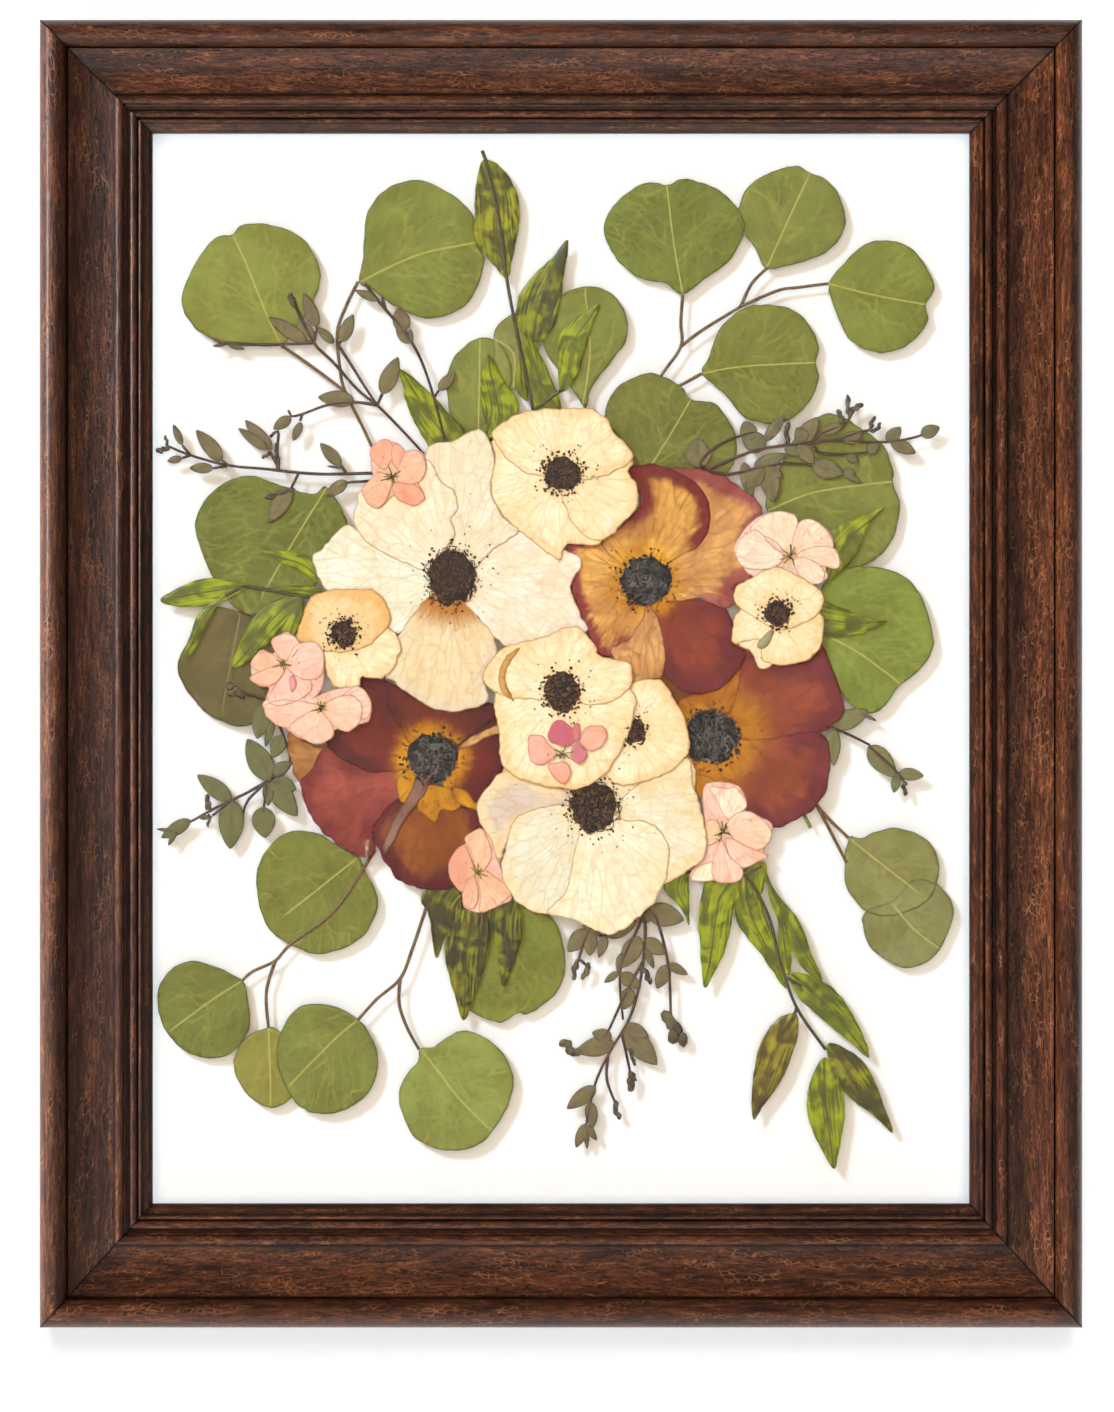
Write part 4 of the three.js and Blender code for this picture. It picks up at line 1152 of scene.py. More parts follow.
# %% Petal material
def petal_material(name, vein, vein_share, rim_colour, rim_share, mottle, dot):
    made, tree, output = new_material(name)
    lay, rim, tint, here = spot_sockets(tree)
    heart = add(tree, "Attribute", attribute_name="heart").outputs["Color"]
    middle = add(tree, "Attribute", attribute_name="middle").outputs["Color"]
    band = add(tree, "Attribute", attribute_name="band").outputs["Fac"]
    x, y, zone = add(tree, "SeparateXYZ", {0: lay}).outputs
    flat = add(tree, "CombineXYZ", {0: x, 1: y}).outputs[0]
    radius = add(tree, "VectorMath", {0: flat}, operation="LENGTH").outputs["Value"]
    ray = add(tree, "VectorMath", {0: flat}, operation="NORMALIZE").outputs[0]
    spread = add(tree, "VectorMath", {0: ray, "Scale": 7.0}, operation="SCALE").outputs[0]
    rise = add(
        tree, "CombineXYZ", {2: add(tree, "Math", {0: radius, 1: 0.07}, operation="MULTIPLY")}
    ).outputs[0]
    streak_at = add(tree, "VectorMath", {0: spread, 1: rise}, operation="ADD").outputs[0]
    streaks = add(
        tree, "TexNoise", {"Vector": streak_at, "Scale": 1.9, "Detail": 4.0, "Roughness": 0.65}
    )
    veins = add(tree, "TexVoronoi", {"Vector": streak_at, "Scale": 1.25}, feature="DISTANCE_TO_EDGE")
    vein_lines = line_mask(tree, veins.outputs["Distance"], 0.02, 0.07)
    folds = add(tree, "TexVoronoi", {"Vector": here, "Scale": 170.0}, feature="DISTANCE_TO_EDGE")
    fold_lines = line_mask(tree, folds.outputs["Distance"], 0.015, 0.05)
    facets = add(tree, "TexVoronoi", {"Vector": here, "Scale": 170.0})
    facet = add(tree, "SeparateColor", {0: facets.outputs["Color"]}).outputs[0]
    clouds = add(tree, "TexNoise", {"Vector": here, "Scale": 70.0, "Detail": 4.0, "Roughness": 0.6})
    shaken = add(tree, "Math", {0: streaks.outputs["Fac"], 1: 0.5}, operation="SUBTRACT")
    ragged = add(tree, "Math", {0: shaken, 1: 9.0, 2: radius}, operation="MULTIPLY_ADD")
    depth = add(tree, "Math", {0: ragged, 1: zone}, operation="DIVIDE")
    past_heart = add(tree, "MapRange", {0: depth, 1: 0.7, 2: 1.15}, interpolation_type="SMOOTHSTEP")
    near_rim = add(tree, "Math", {0: shaken, 1: 6.0, 2: rim}, operation="MULTIPLY_ADD")
    near_rim = add(
        tree,
        "Math",
        {
            0: add(tree, "Math", {0: clouds.outputs["Fac"], 1: 0.5}, operation="SUBTRACT"),
            1: 9.0,
            2: near_rim,
        },
        operation="MULTIPLY_ADD",
    )
    in_band = add(
        tree,
        "MapRange",
        {
            0: near_rim,
            1: add(tree, "Math", {0: band, 1: 0.45}, operation="MULTIPLY"),
            2: add(tree, "Math", {0: band, 1: 1.25, 2: 0.01}, operation="MULTIPLY_ADD"),
            3: 1.0,
            4: 0.0,
        },
        interpolation_type="SMOOTHSTEP",
    )
    body = add(tree, "Mix", {0: past_heart.outputs[0], 6: heart, 7: middle}, data_type="RGBA")
    far_out = add(tree, "MapRange", {0: depth, 1: 1.2, 2: 1.6}).outputs[0]
    body = add(
        tree,
        "Mix",
        {
            0: add(tree, "Math", {0: in_band.outputs[0], 1: far_out}, operation="MULTIPLY"),
            6: body,
            7: tint,
        },
        data_type="RGBA",
    )
    tone = add(tree, "ValToRGB", {0: clouds.outputs["Fac"]}, stops=[(0.34, mottle), (0.6, "#FFFFFF")])
    body = add(
        tree, "Mix", {0: 0.8, 6: body, 7: tone.outputs[0]}, data_type="RGBA", blend_type="MULTIPLY"
    )
    facet_tone = add(tree, "ValToRGB", {0: facet}, stops=[(0.0, mottle), (0.6, "#FFFFFF")])
    body = add(
        tree,
        "Mix",
        {0: 0.35, 6: body, 7: facet_tone.outputs[0]},
        data_type="RGBA",
        blend_type="MULTIPLY",
    )
    ray_tone = add(
        tree, "ValToRGB", {0: streaks.outputs["Fac"]}, stops=[(0.3, mottle), (0.55, "#FFFFFF")]
    )
    body = add(
        tree, "Mix", {0: 0.55, 6: body, 7: ray_tone.outputs[0]}, data_type="RGBA", blend_type="MULTIPLY"
    )
    patchy = add(tree, "MapRange", {0: clouds.outputs["Fac"], 1: 0.35, 2: 0.65, 3: 0.4, 4: 1.0}).outputs[0]
    body = add(
        tree,
        "Mix",
        {
            0: add(
                tree,
                "Math",
                {0: add(tree, "Math", {0: vein_lines, 1: patchy}, operation="MULTIPLY"), 1: vein_share},
                operation="MULTIPLY",
            ),
            6: body,
            7: vein,
        },
        data_type="RGBA",
    )
    body = add(
        tree,
        "Mix",
        {
            0: add(tree, "Math", {0: fold_lines, 1: vein_share * 0.55}, operation="MULTIPLY"),
            6: body,
            7: vein,
        },
        data_type="RGBA",
    )
    edge = line_mask(tree, rim, 0.12, 0.35)
    body = add(
        tree,
        "Mix",
        {0: add(tree, "Math", {0: edge, 1: rim_share}, operation="MULTIPLY"), 6: body, 7: rim_colour},
        data_type="RGBA",
    )
    grains = scattered_specks(tree, here, 0.2, 0.3, 0.5)
    body = add(
        tree,
        "Mix",
        {0: add(tree, "Math", {0: grains, 1: 0.85}, operation="MULTIPLY"), 6: body, 7: dot},
        data_type="RGBA",
    )
    height = add(
        tree,
        "Math",
        {0: vein_lines, 1: -0.4, 2: add(tree, "Math", {0: facet, 1: 0.25}, operation="MULTIPLY")},
        operation="MULTIPLY_ADD",
    )
    height = add(tree, "Math", {0: fold_lines, 1: 0.5, 2: height}, operation="MULTIPLY_ADD")
    relief = add(tree, "Bump", {"Height": height, "Strength": 0.35, "Distance": 0.0003})
    face = add(
        tree,
        "BsdfPrincipled",
        {"Base Color": body, "Roughness": 0.7, "Normal": relief.outputs[0], "IOR": 1.4,
         "Specular IOR Level": 0.25},
    )
    tree.links.new(face.outputs[0], output.inputs[0])
    return made


cream = petal_material("pressed_cream_petal", "#CE9250", 0.27, "#B87A3C", 0.7, "#F8ECD6", "#6A3418")
maroon = petal_material("pressed_maroon_petal", "#3E140E", 0.3, "#421218", 0.6, "#C6AA9A", "#3A1410")
pink = petal_material("pressed_pink_petal", "#D0806A", 0.35, "#C47A62", 0.65, "#F8DED0", "#5A2A1C")

pollen, tree, output = new_material("dried_pollen_and_anthers")
lay, rim, tint, here = spot_sockets(tree)
fuzz = add(tree, "TexNoise", {"Vector": here, "Scale": 1500.0, "Detail": 4.0, "Roughness": 0.75})
fuzz_tone = add(tree, "ValToRGB", {0: fuzz.outputs["Fac"]}, stops=[(0.3, "#7A7470"), (0.7, "#FFFFFF")])
pollen_body = add(
    tree, "Mix", {0: 1.0, 6: tint, 7: fuzz_tone.outputs[0]}, data_type="RGBA", blend_type="MULTIPLY"
)
pollen_relief = add(tree, "Bump", {"Height": fuzz.outputs["Fac"], "Strength": 0.8, "Distance": 0.0003})
pollen_face = add(
    tree,
    "BsdfPrincipled",
    {"Base Color": pollen_body, "Roughness": 0.75, "Normal": pollen_relief.outputs[0], "IOR": 1.45},
)
tree.links.new(pollen_face.outputs[0], output.inputs[0])
print("petal materials made")

# %% [markdown]
# ## The outlines
# The outlines below were read off the photograph, leaf by leaf. Each is a short list of
# places in pixels, and a smooth curve is drawn through them, so the leaf's edge is not stepped.
# A leaf's list starts at its stalk or its tip, where its midrib starts too.

# %% Outlines of the leaves
EUCALYPTUS = {
    "e1": (
        "281,345 262,346 225,343 195,328 181,300 194,264 214,238 232,233 243,224 270,224 303,239 "
        "320,272 311,305 290,337"
    ),
    "e2": (
        "359,282 363,257 367,213 387,188 423,180 464,203 477,228 476,242 484,262 468,302 431,318 "
        "398,307 373,290"
    ),
    "e3": (
        "683,294 665,283 633,274 610,247 604,223 618,200 645,182 667,184 688,178 724,193 745,223 "
        "732,257 705,278"
    ),
    "e4": "767,268 757,250 739,222 742,197 760,177 794,165 810,172 828,180 842,200 845,228 828,251 798,262",
    "e5": "829,284 845,262 867,243 897,241 918,254 935,285 926,304 928,322 907,345 878,352 850,339 837,313",
    "e6": (
        "702,373 710,355 720,328 745,307 780,305 805,318 819,345 816,362 819,378 808,403 783,422 "
        "747,418 723,392"
    ),
    "e7": "585,406 591,388 612,360 627,337 623,307 600,287 567,291 543,315 545,350 568,382",
    "e9": "478,440 455,430 447,390 453,359 477,338 500,343 512,370 503,405",
    "e10": (
        "640,482 611,445 605,412 618,387 650,373 680,385 691,399 717,405 737,440 728,473 695,495 "
        "660,495"
    ),
    "e11": (
        "767,511 776,478 792,442 818,417 837,414 863,429 885,447 894,472 893,481 900,505 894,537 "
        "873,561 845,568 805,558"
    ),
    "e12": (
        "812,625 822,588 845,569 888,569 918,590 934,640 922,668 901,685 880,711 858,710 840,690 "
        "826,655"
    ),
    "e13": (
        "327,487 313,494 283,486 250,476 217,487 195,519 202,553 218,588 243,613 268,612 305,592 "
        "342,560 347,523"
    ),
    "e15": "237,611 213,608 192,634 177,665 187,692 213,718 247,726 274,704 283,668 272,634 252,616",
    "e16": (
        "358,857 340,847 315,833 287,833 265,852 256,880 265,924 290,945 322,954 360,939 378,905 "
        "366,873"
    ),
    "e17": "242,981 219,969 193,961 168,972 157,996 165,1031 191,1055 226,1056 248,1031 247,996",
    "e18": "268,1028 246,1038 233,1064 245,1093 270,1108 293,1096 299,1060 282,1034",
    "e19": "358,1020 332,1006 300,1007 280,1033 278,1069 298,1106 332,1114 367,1095 378,1059 367,1030",
    "e20": (
        "420,1049 433,1047 463,1031 496,1046 513,1077 506,1110 480,1144 447,1151 415,1138 399,1103 "
        "404,1078 418,1062"
    ),
    "e21": (
        "515,905 547,914 561,935 565,968 556,994 528,1015 517,1014 500,1023 475,1014 468,1004 478,965 "
        "487,940"
    ),
    "e22": "849,838 862,838 893,828 926,839 940,868 928,901 893,916 866,911 848,890 845,868",
    "e23": "895,900 866,912 864,928 872,950 895,965 913,968 938,953 954,912 940,886 915,880",
}

RUSCUS = {
    "r1": "506,278 493,264 474,239 475,217 475,190 482,161 495,162 510,178 520,210 512,262",
    "r2": "568,240 564,275 557,318 545,338 530,340 517,325 515,313 523,287 552,257",
    "r2b": "561,410 534,408 525,365 528,335 549,372",
    "r3": "599,303 592,325 585,350 577,377 561,392 558,360 560,331 580,315",
    "r4": "488,354 480,392 487,428 493,442 519,408 506,383",
    "r4b": "519,355 515,387 528,400 525,370",
    "r5": "400,369 403,388 410,412 432,451 455,455 465,432 448,412 422,385",
    "r6": "160,600 178,588 205,578 243,584 243,590 215,604 180,607",
    "r7": "183,658 191,633 200,612 225,595 208,620 195,649",
    "r8": "232,669 244,633 268,603 303,596 287,622 260,651",
    "r9": "261,552 290,551 312,560 326,586 297,570",
    "r10": "267,590 300,585 326,590 312,597 283,592",
    "r10b": "290,636 281,631 293,612 303,596 304,612 298,632",
    "r11": "885,507 869,526 858,552 845,568 827,581 827,545 831,531 857,518",
    "r12": "888,621 865,617 842,607 822,603 812,615 818,634 838,638 865,632",
    "r13a": "436,958 429,917 421,901 427,889 458,888 462,915 446,937",
    "r13b": "464,1021 455,997 446,963 446,938 462,912 475,903 490,922 488,955 475,995",
    "r14": "503,987 495,948 488,925 492,906 515,897 523,930 513,965",
    "r15": "704,987 700,945 698,922 702,892 710,879 737,879 734,908 727,945 714,973",
    "r16": "689,925 681,909 663,886 687,870 689,895",
    "r17": "786,989 761,955 740,928 734,907 738,878 752,872 764,911 779,955",
    "r17b": "751,909 741,878 750,865 766,863 764,888",
    "r18": "823,981 804,970 789,945 772,905 762,863 777,893 800,922 812,955",
    "r18b": "790,974 781,965 778,915 783,910 791,945",
    "r19": "870,1058 850,1042 820,1018 797,995 790,975 806,974 835,990 858,1025",
    "r20": "753,1119 753,1080 760,1045 775,1022 795,1013 798,1035 783,1078 765,1104",
    "r21": "834,1169 822,1150 810,1125 807,1098 815,1070 827,1058 841,1088 845,1112 840,1148",
    "r22": "893,1133 875,1117 850,1098 834,1078 827,1045 845,1048 868,1068 884,1105",
}

# %% Outlines of the petals
PETALS = {
    "a_left": "347,525 322,549 312,559 326,590 345,600 375,620 400,633 425,603 440,580 400,552 370,540",
    "a_bottom": (
        "400,633 425,600 455,585 487,620 497,655 485,675 488,701 460,711 430,707 393,682 386,676 "
        "390,650"
    ),
    "a_right": (
        "482,554 520,530 545,545 577,555 581,567 571,586 580,613 587,632 545,642 510,648 480,620 "
        "460,590"
    ),
    "a_top": "425,455 455,440 481,430 495,460 491,492 507,520 520,530 497,547 455,580 430,540",
    "a_front": (
        "361,490 385,470 425,458 442,483 455,492 458,509 452,520 455,533 446,552 445,580 410,565 "
        "370,545 354,522 357,505"
    ),
    "b_low": "493,440 495,460 491,492 507,520 535,543 560,560 568,545 601,542 600,500 562,465 520,440",
    "b_right": "632,460 628,472 637,487 638,507 621,525 610,537 593,540 570,520 560,470 600,450",
    "b_top": (
        "493,438 510,418 533,410 562,409 590,409 608,420 614,434 625,443 632,460 600,478 562,480 "
        "520,470"
    ),
    "c_low": "498,690 499,729 504,767 540,785 590,785 624,745 632,690 562,670",
    "c_top": (
        "482,679 499,652 520,642 543,637 575,627 595,645 598,655 622,660 632,667 628,690 600,705 "
        "562,700 510,698"
    ),
    "d_all": "628,688 642,679 662,681 677,703 686,723 690,745 683,760 663,775 620,785 600,760 608,720",
    "e_top": "503,770 540,762 600,765 660,765 689,758 694,790 650,815 590,812 545,812 520,795",
    "e_left": "476,806 486,790 503,772 530,775 590,806 550,820 513,835 500,862 492,842 484,830",
    "e_low_left": "513,823 530,810 570,806 592,830 588,884 560,911 534,912 513,897 501,873 505,848",
    "e_right": "616,810 650,775 687,758 694,787 702,812 706,852 687,871 655,884 630,850",
    "e_low": (
        "600,808 624,819 650,823 666,839 669,862 663,886 650,907 612,934 572,919 548,912 566,890 "
        "575,850 582,825"
    ),
    "f_low": "298,640 320,652 333,685 359,687 362,677 385,677 400,655 395,632 370,622 330,625",
    "f_top": "298,640 301,620 310,600 327,591 371,590 387,605 389,625 370,645 344,652 318,650",
    "g_low": "742,608 732,626 734,644 757,640 764,661 787,665 812,657 823,635 818,612 777,600",
    "g_top": "752,578 776,567 805,580 823,594 818,615 800,625 777,630 745,612 734,600 736,587",
    "p1_low": (
        "640,600 660,580 670,595 700,600 724,608 733,625 734,645 747,652 735,673 717,690 688,693 "
        "667,678 657,660"
    ),
    "p1_left": "568,545 600,539 640,560 660,590 652,620 638,637 615,656 597,653 587,632 580,612 571,586",
    "p1_peach": "610,651 628,640 641,620 650,603 664,640 663,675 650,680 632,682",
    "p1_right": (
        "665,480 687,469 717,474 745,490 762,512 752,545 752,577 735,587 736,603 724,608 700,600 "
        "660,590"
    ),
    "p1_top": (
        "627,472 647,464 673,470 700,487 710,508 709,528 697,547 675,559 640,575 601,543 622,525 "
        "640,500"
    ),
    "p2_back": "291,729 288,750 300,783 325,775 330,745 315,746",
    "p2_low": (
        "393,802 377,819 372,829 380,853 390,868 397,880 425,889 457,887 475,870 485,838 475,808 "
        "445,790"
    ),
    "p2_low_left": (
        "407,767 350,763 327,747 310,770 300,783 307,808 328,837 362,857 375,850 374,828 393,802 "
        "415,790"
    ),
    "p2_left": "361,677 387,681 389,707 412,740 425,760 407,770 365,770 325,741 340,712",
    "p2_top": "387,681 410,692 450,700 487,702 499,711 487,725 462,742 440,765 415,750 389,707",
    "p2_right": "440,760 455,748 492,729 500,735 504,768 485,790 475,808 450,800",
    "p3_gold": "677,703 698,692 724,682 747,653 760,690 740,740 728,785 698,787 688,758 683,725",
    "p3_top": "747,642 763,662 810,660 820,643 834,673 844,710 832,725 805,740 770,750 715,745 735,700",
    "p3_low": "715,745 770,738 823,734 829,780 817,805 793,822 772,828 745,815 728,788",
}

FLORETS = {
    "k1": (
        "371,462 380,442 392,442 399,444 405,452 422,452 427,468 419,482 424,495 412,506 395,496 "
        "378,509 363,492 373,479"
    ),
    "k2": (
        "734,548 749,524 771,512 794,514 798,523 816,521 832,536 834,551 841,563 826,568 826,580 "
        "790,590 752,576 742,566"
    ),
    "k3": (
        "288,632 277,639 274,653 261,650 251,667 257,685 269,688 267,700 293,693 310,700 323,687 "
        "324,663 317,650 298,641"
    ),
    "k4": (
        "267,699 265,710 288,730 302,739 325,741 336,730 358,725 370,720 371,702 358,687 333,690 "
        "310,698 293,693"
    ),
    "k5": (
        "530,737 543,733 551,723 567,724 582,728 595,725 608,730 602,748 588,753 582,763 571,768 "
        "567,781 553,782 537,768"
    ),
    "k6": "483,829 465,843 453,858 450,877 462,892 464,907 481,913 500,905 512,897 501,868 495,845",
    "k7": (
        "705,785 737,785 747,803 745,815 764,818 773,828 764,851 768,857 744,868 738,881 710,880 "
        "689,877 705,850 704,822"
    ),
}

# %% Stems, twigs and the dark middles
STEMS = {
    "e1": [
        "281,345 310,365 345,391",
        "358,281 347,303 337,332 340,370 345,391 365,432 374,452",
    ],
    "e3": [
        "683,294 681,322 681,346 661,376 655,395",
        "681,346 702,330 741,306",
        "741,306 752,283 768,267",
        "741,306 778,290 798,287 829,283",
        "702,373 680,385 655,395",
    ],
    "e7": [
        "585,404 584,420",
    ],
    "e17": [
        "375,850 335,910 290,945 275,961 252,972 242,981",
        "275,961 266,992 268,1028",
    ],
    "e19": [
        "427,905 412,950 400,979 377,999 358,1020",
        "400,979 399,1004 407,1028 419,1050",
    ],
    "e22": [
        "817,805 832,822 849,838",
        "817,805 830,830 847,863",
    ],
    "r1": [
        "482,150 488,168 499,218 507,280 519,343 528,383 533,410",
        "455,452 493,438 533,410 561,390",
    ],
    "r6": [
        "243,586 270,590 312,597 327,588 316,576",
        "225,596 243,586",
    ],
    "r13": [
        "462,905 500,900 515,898",
    ],
    "r15": [
        "687,872 720,880 745,876 768,915 780,961 797,1008 826,1050",
        "745,876 762,866",
        "797,1008 792,1022",
        "785,977 802,986",
    ],
}

# A twig's leaves and buds are given by base, tip and width
TWIGS = {
    "s1": {
        "stems": [
            "297,310 314,343 333,362 358,390 377,405 400,428 424,454",
            "337,343 350,363 365,387 377,405",
            "225,343 250,344 283,344 314,343",
            "293,297 297,310",
            "317,327 314,343",
            "341,342 337,343",
            "377,405 353,402 327,405 302,414 291,416 288,410",
            "302,414 300,421",
            "382,394 377,405",
        ],
        "leaves": (
            "317,327 304,293 14; 307,342 268,317 15; 312,341 298,320 16; 334,343 317,327 10; 341,342 "
            "353,314 14; 354,400 318,397 17; 291,417 273,429 12; 301,422 293,441 9; 382,394 398,357 18; "
            "226,344 209,337 4; 226,344 212,346 4; 228,345 245,349 5"
        ),
        "buds": "293,305 292,294 10",
    },
    "s2": {
        "stems": [
            "373,473 325,474 293,472 267,469 227,465 190,455 168,446",
            "373,473 373,480 350,482 347,483",
            "270,437 278,431 277,453 279,469",
            "270,452 278,467",
            "298,474 291,488",
            "346,473 341,465",
            "227,465 222,460",
            "227,466 213,468",
            "190,455 182,445",
            "190,455 182,458",
        ],
        "leaves": (
            "272,450 245,420 14; 268,450 238,428 11; 222,460 196,430 16; 182,445 173,424 8; 182,458 "
            "167,461 8; 213,468 189,468 11; 341,465 320,443 13; 343,468 326,466 3; 347,481 325,496 13; "
            "291,488 268,523 17; 222,460 208,456 5"
        ),
        "buds": (
            "168,446 166,436 5; 168,447 157,450 9; 270,452 263,458 6; 277,468 277,446 6; 291,488 "
            "267,497 8"
        ),
    },
    "s3": {
        "stems": [
            "365,284 386,310 405,332 421,360 434,398 446,445",
            "382,297 386,310",
            "434,397 439,390",
        ],
        "leaves": (
            "405,331 397,308 18; 410,343 396,326 12; 411,343 410,328 6; 439,390 455,372 12; 378,300 "
            "355,290 9"
        ),
        "buds": "",
    },
    "s4": {
        "stems": [
            "707,470 742,455 766,448 813,442 836,440 881,442 907,439 922,435",
            "707,470 700,464 707,454 720,444 736,437 754,432",
            "707,470 730,474 762,467 787,463 813,465",
            "813,442 822,433 844,424 854,411",
            "836,440 864,431 873,430",
            "813,442 818,452 844,454 869,452",
        ],
        "leaves": (
            "700,468 697,438 26; 752,440 744,421 18; 766,446 742,438 22; 765,441 785,414 12; 798,444 "
            "819,417 18; 805,442 797,427 15; 822,431 844,426 12; 844,441 863,433 13; 867,452 879,444 "
            "12; 887,442 901,427 14; 891,441 916,453 14; 921,435 940,427 14; 785,446 800,455 12; "
            "797,445 815,464 15; 812,465 844,473 20; 847,454 859,463 10; 844,470 856,473 8; 840,471 "
            "863,483 7; 754,466 787,454 14; 764,468 783,476 14; 764,468 746,489 16; 768,465 774,502 20; "
            "744,462 752,500 14"
        ),
        "buds": (
            "787,444 787,424 8; 844,424 839,411 9; 850,416 848,397 7; 853,412 860,403 10; 871,430 "
            "874,417 7; 872,430 881,425 7"
        ),
    },
    "s5": {
        "stems": [
            "273,778 250,791 230,801 217,807 190,822",
            "267,781 248,800 243,813",
            "267,781 263,812",
            "230,801 212,816",
            "243,693 266,702 283,735 290,765 273,778",
        ],
        "leaves": (
            "270,780 247,739 25; 273,775 290,762 14; 275,781 296,790 16; 270,782 297,816 22; 268,782 "
            "268,806 12; 262,807 265,838 24; 232,800 230,849 26; 231,800 197,775 18; 190,820 161,838 "
            "14; 176,830 168,846 6; 172,831 156,829 4; 199,818 212,817 5; 265,703 257,739 20; 273,720 "
            "265,747 8; 283,735 272,758 16"
        ),
        "buds": "209,815 208,826 5; 208,811 206,796 8; 243,693 227,689 13",
    },
    "s6": {
        "stems": [
            "645,912 645,943 640,983 629,1020 610,1052 595,1085 586,1126",
            "645,912 635,935 629,945 620,974 623,1020",
            "643,962 627,991 610,1028 604,1039",
            "645,912 655,915 668,963 671,1017",
            "645,912 605,936 590,930 577,965",
            "580,960 588,967",
            "622,1035 627,1057 631,1077",
            "608,1057 607,1080 616,1105",
        ],
        "leaves": (
            "587,930 568,952 18; 591,932 590,956 15; 600,934 583,925 14; 606,936 599,958 10; 607,937 "
            "638,921 15; 647,911 684,920 24; 652,913 638,921 14; 640,937 622,968 20; 622,953 618,973 9; "
            "619,972 604,983 8; 644,940 666,954 16; 645,948 654,969 8; 620,974 641,988 15; 668,965 "
            "657,989 15; 668,964 688,975 10; 630,988 624,1010 16; 614,1043 576,1052 20; 612,1038 "
            "592,1033 14; 623,1028 657,1065 24; 626,1025 649,1038 14; 596,1087 567,1109 16; 590,1102 "
            "593,1129 13; 586,1125 597,1141 8; 586,1124 576,1148 11; 586,1125 587,1150 6"
        ),
        "buds": (
            "577,962 574,978 8; 587,964 585,978 9; 670,1014 680,1044 20; 580,1050 561,1046 15; 629,1050 "
            "635,1064 6; 631,1074 632,1090 13; 616,1103 617,1118 9; 644,968 650,983 9"
        ),
    },
    "s7": {
        "stems": [
            "825,727 838,730 852,736 870,745",
            "838,730 833,725",
            "869,746 899,774 905,786",
        ],
        "leaves": (
            "833,726 869,711 20; 833,727 834,766 15; 869,746 896,777 22; 899,773 924,776 13; 898,774 "
            "894,793 10; 863,714 877,721 4"
        ),
        "buds": "904,783 907,794 8",
    },
}

DISCS = {
    "flower_a": "452,577 25 29",
    "flower_b": "562,474 20 18",
    "flower_c": "562,692 18 21",
    "flower_d": "632,731 13 13",
    "flower_e": "593,806 24 26",
    "flower_f": "344,634 14 14",
    "flower_g": "777,613 13 13",
    "flower_p1": "646,581 26 26",
    "flower_p2": "432,758 26 26",
    "flower_p3": "713,737 28 28",
}

# %% Midribs that were read off the photograph
MIDRIBS = {
    "e1": "281,345 268,318 245,262 232,234",
    "e2": "359,282 388,267 425,252 476,242",
    "e3": "683,294 674,243 667,185",
    "e4": "767,267 786,225 810,173",
    "e5": "829,283 872,294 926,304",
    "e6": "702,373 743,366 816,362",
    "e7": "583,404 590,350 585,290",
    "e9": "478,440 480,338",
    "e10": "640,482 667,440 691,399",
    "e11": "767,511 815,492 893,481",
    "e12": "815,630 858,652 901,684",
    "e13": "327,487 300,530 262,595",
    "e15": "240,614 230,665 222,710",
    "e16": "357,858 317,890 285,915",
    "e17": "242,981 212,1000 171,1030",
    "e18": "268,1028 270,1080 270,1105",
    "e19": "358,1020 334,1040 288,1087",
    "e20": "420,1049 439,1073 459,1099 490,1130",
    "e21": "520,905 510,960 503,988",
    "e22": "849,838 874,858 919,893",
    "e23": "895,907 915,930 940,949",
}
print(len(EUCALYPTUS) + len(RUSCUS), "leaves,", len(PETALS) + len(FLORETS), "petals")

# %% [markdown]
# ## Eucalyptus
# Thirteen pieces of round-leaved eucalyptus fan out behind the flowers. Each is a leaf or a small
# branch of leaves on its golden-brown stems.

# %% Eucalyptus leaves
EUCALYPTUS_PIECES = {
    "eucalyptus_top_left": ["e1", "e2"],
    "eucalyptus_top_right": ["e3", "e4", "e5", "e6"],
    "eucalyptus_leaf_top": ["e7"],
    "eucalyptus_leaf_upper": ["e9"],
    "eucalyptus_leaf_middle": ["e10"],
    "eucalyptus_leaf_right_high": ["e11"],
    "eucalyptus_leaf_right_low": ["e12"],
    "eucalyptus_leaf_left_high": ["e13"],
    "eucalyptus_leaf_left_low": ["e15"],
    "eucalyptus_bottom_left": ["e16", "e17", "e18"],
    "eucalyptus_bottom_middle": ["e19", "e20"],
    "eucalyptus_leaf_bottom": ["e21"],
    "eucalyptus_right": ["e22", "e23"],
}
LEAF_TINTS = {
    "e1": "#8C923C", "e2": "#828938", "e3": "#778132", "e4": "#81873B", "e5": "#808835",
    "e6": "#7C8132", "e7": "#81873B", "e9": "#81873B", "e10": "#73762F", "e11": "#81873B",
    "e12": "#849339", "e13": "#70782E", "e15": "#6E6135", "e16": "#7A7F31", "e17": "#767D34",
    "e18": "#979341", "e20": "#939C4A", "e21": "#7E8530", "e22": "#929158", "e23": "#8D8C58",
}
STEM_BROWN = "#7A5A2C"


def dense(text, rough=0.12, step=1.1):
    """A smooth closed outline from its listed places, with the unevenness of a dried rim."""
    line = smooth_curve(read_points(text), True, step)
    shaken = []
    for (px, py), (x, y), (nx, ny) in zip(line[-1:] + line[:-1], line, line[1:] + line[:1]):
        size = math.dist((px, py), (nx, ny)) or 1.0
        push = (
            noise.noise(Vector((x * 0.3, y * 0.3, 5.1)))
            + 0.8 * noise.noise(Vector((x * 0.8, y * 0.8, 9.7)))
        )
        shaken.append((x + (ny - py) / size * push * rough, y - (nx - px) / size * push * rough))
    return shaken


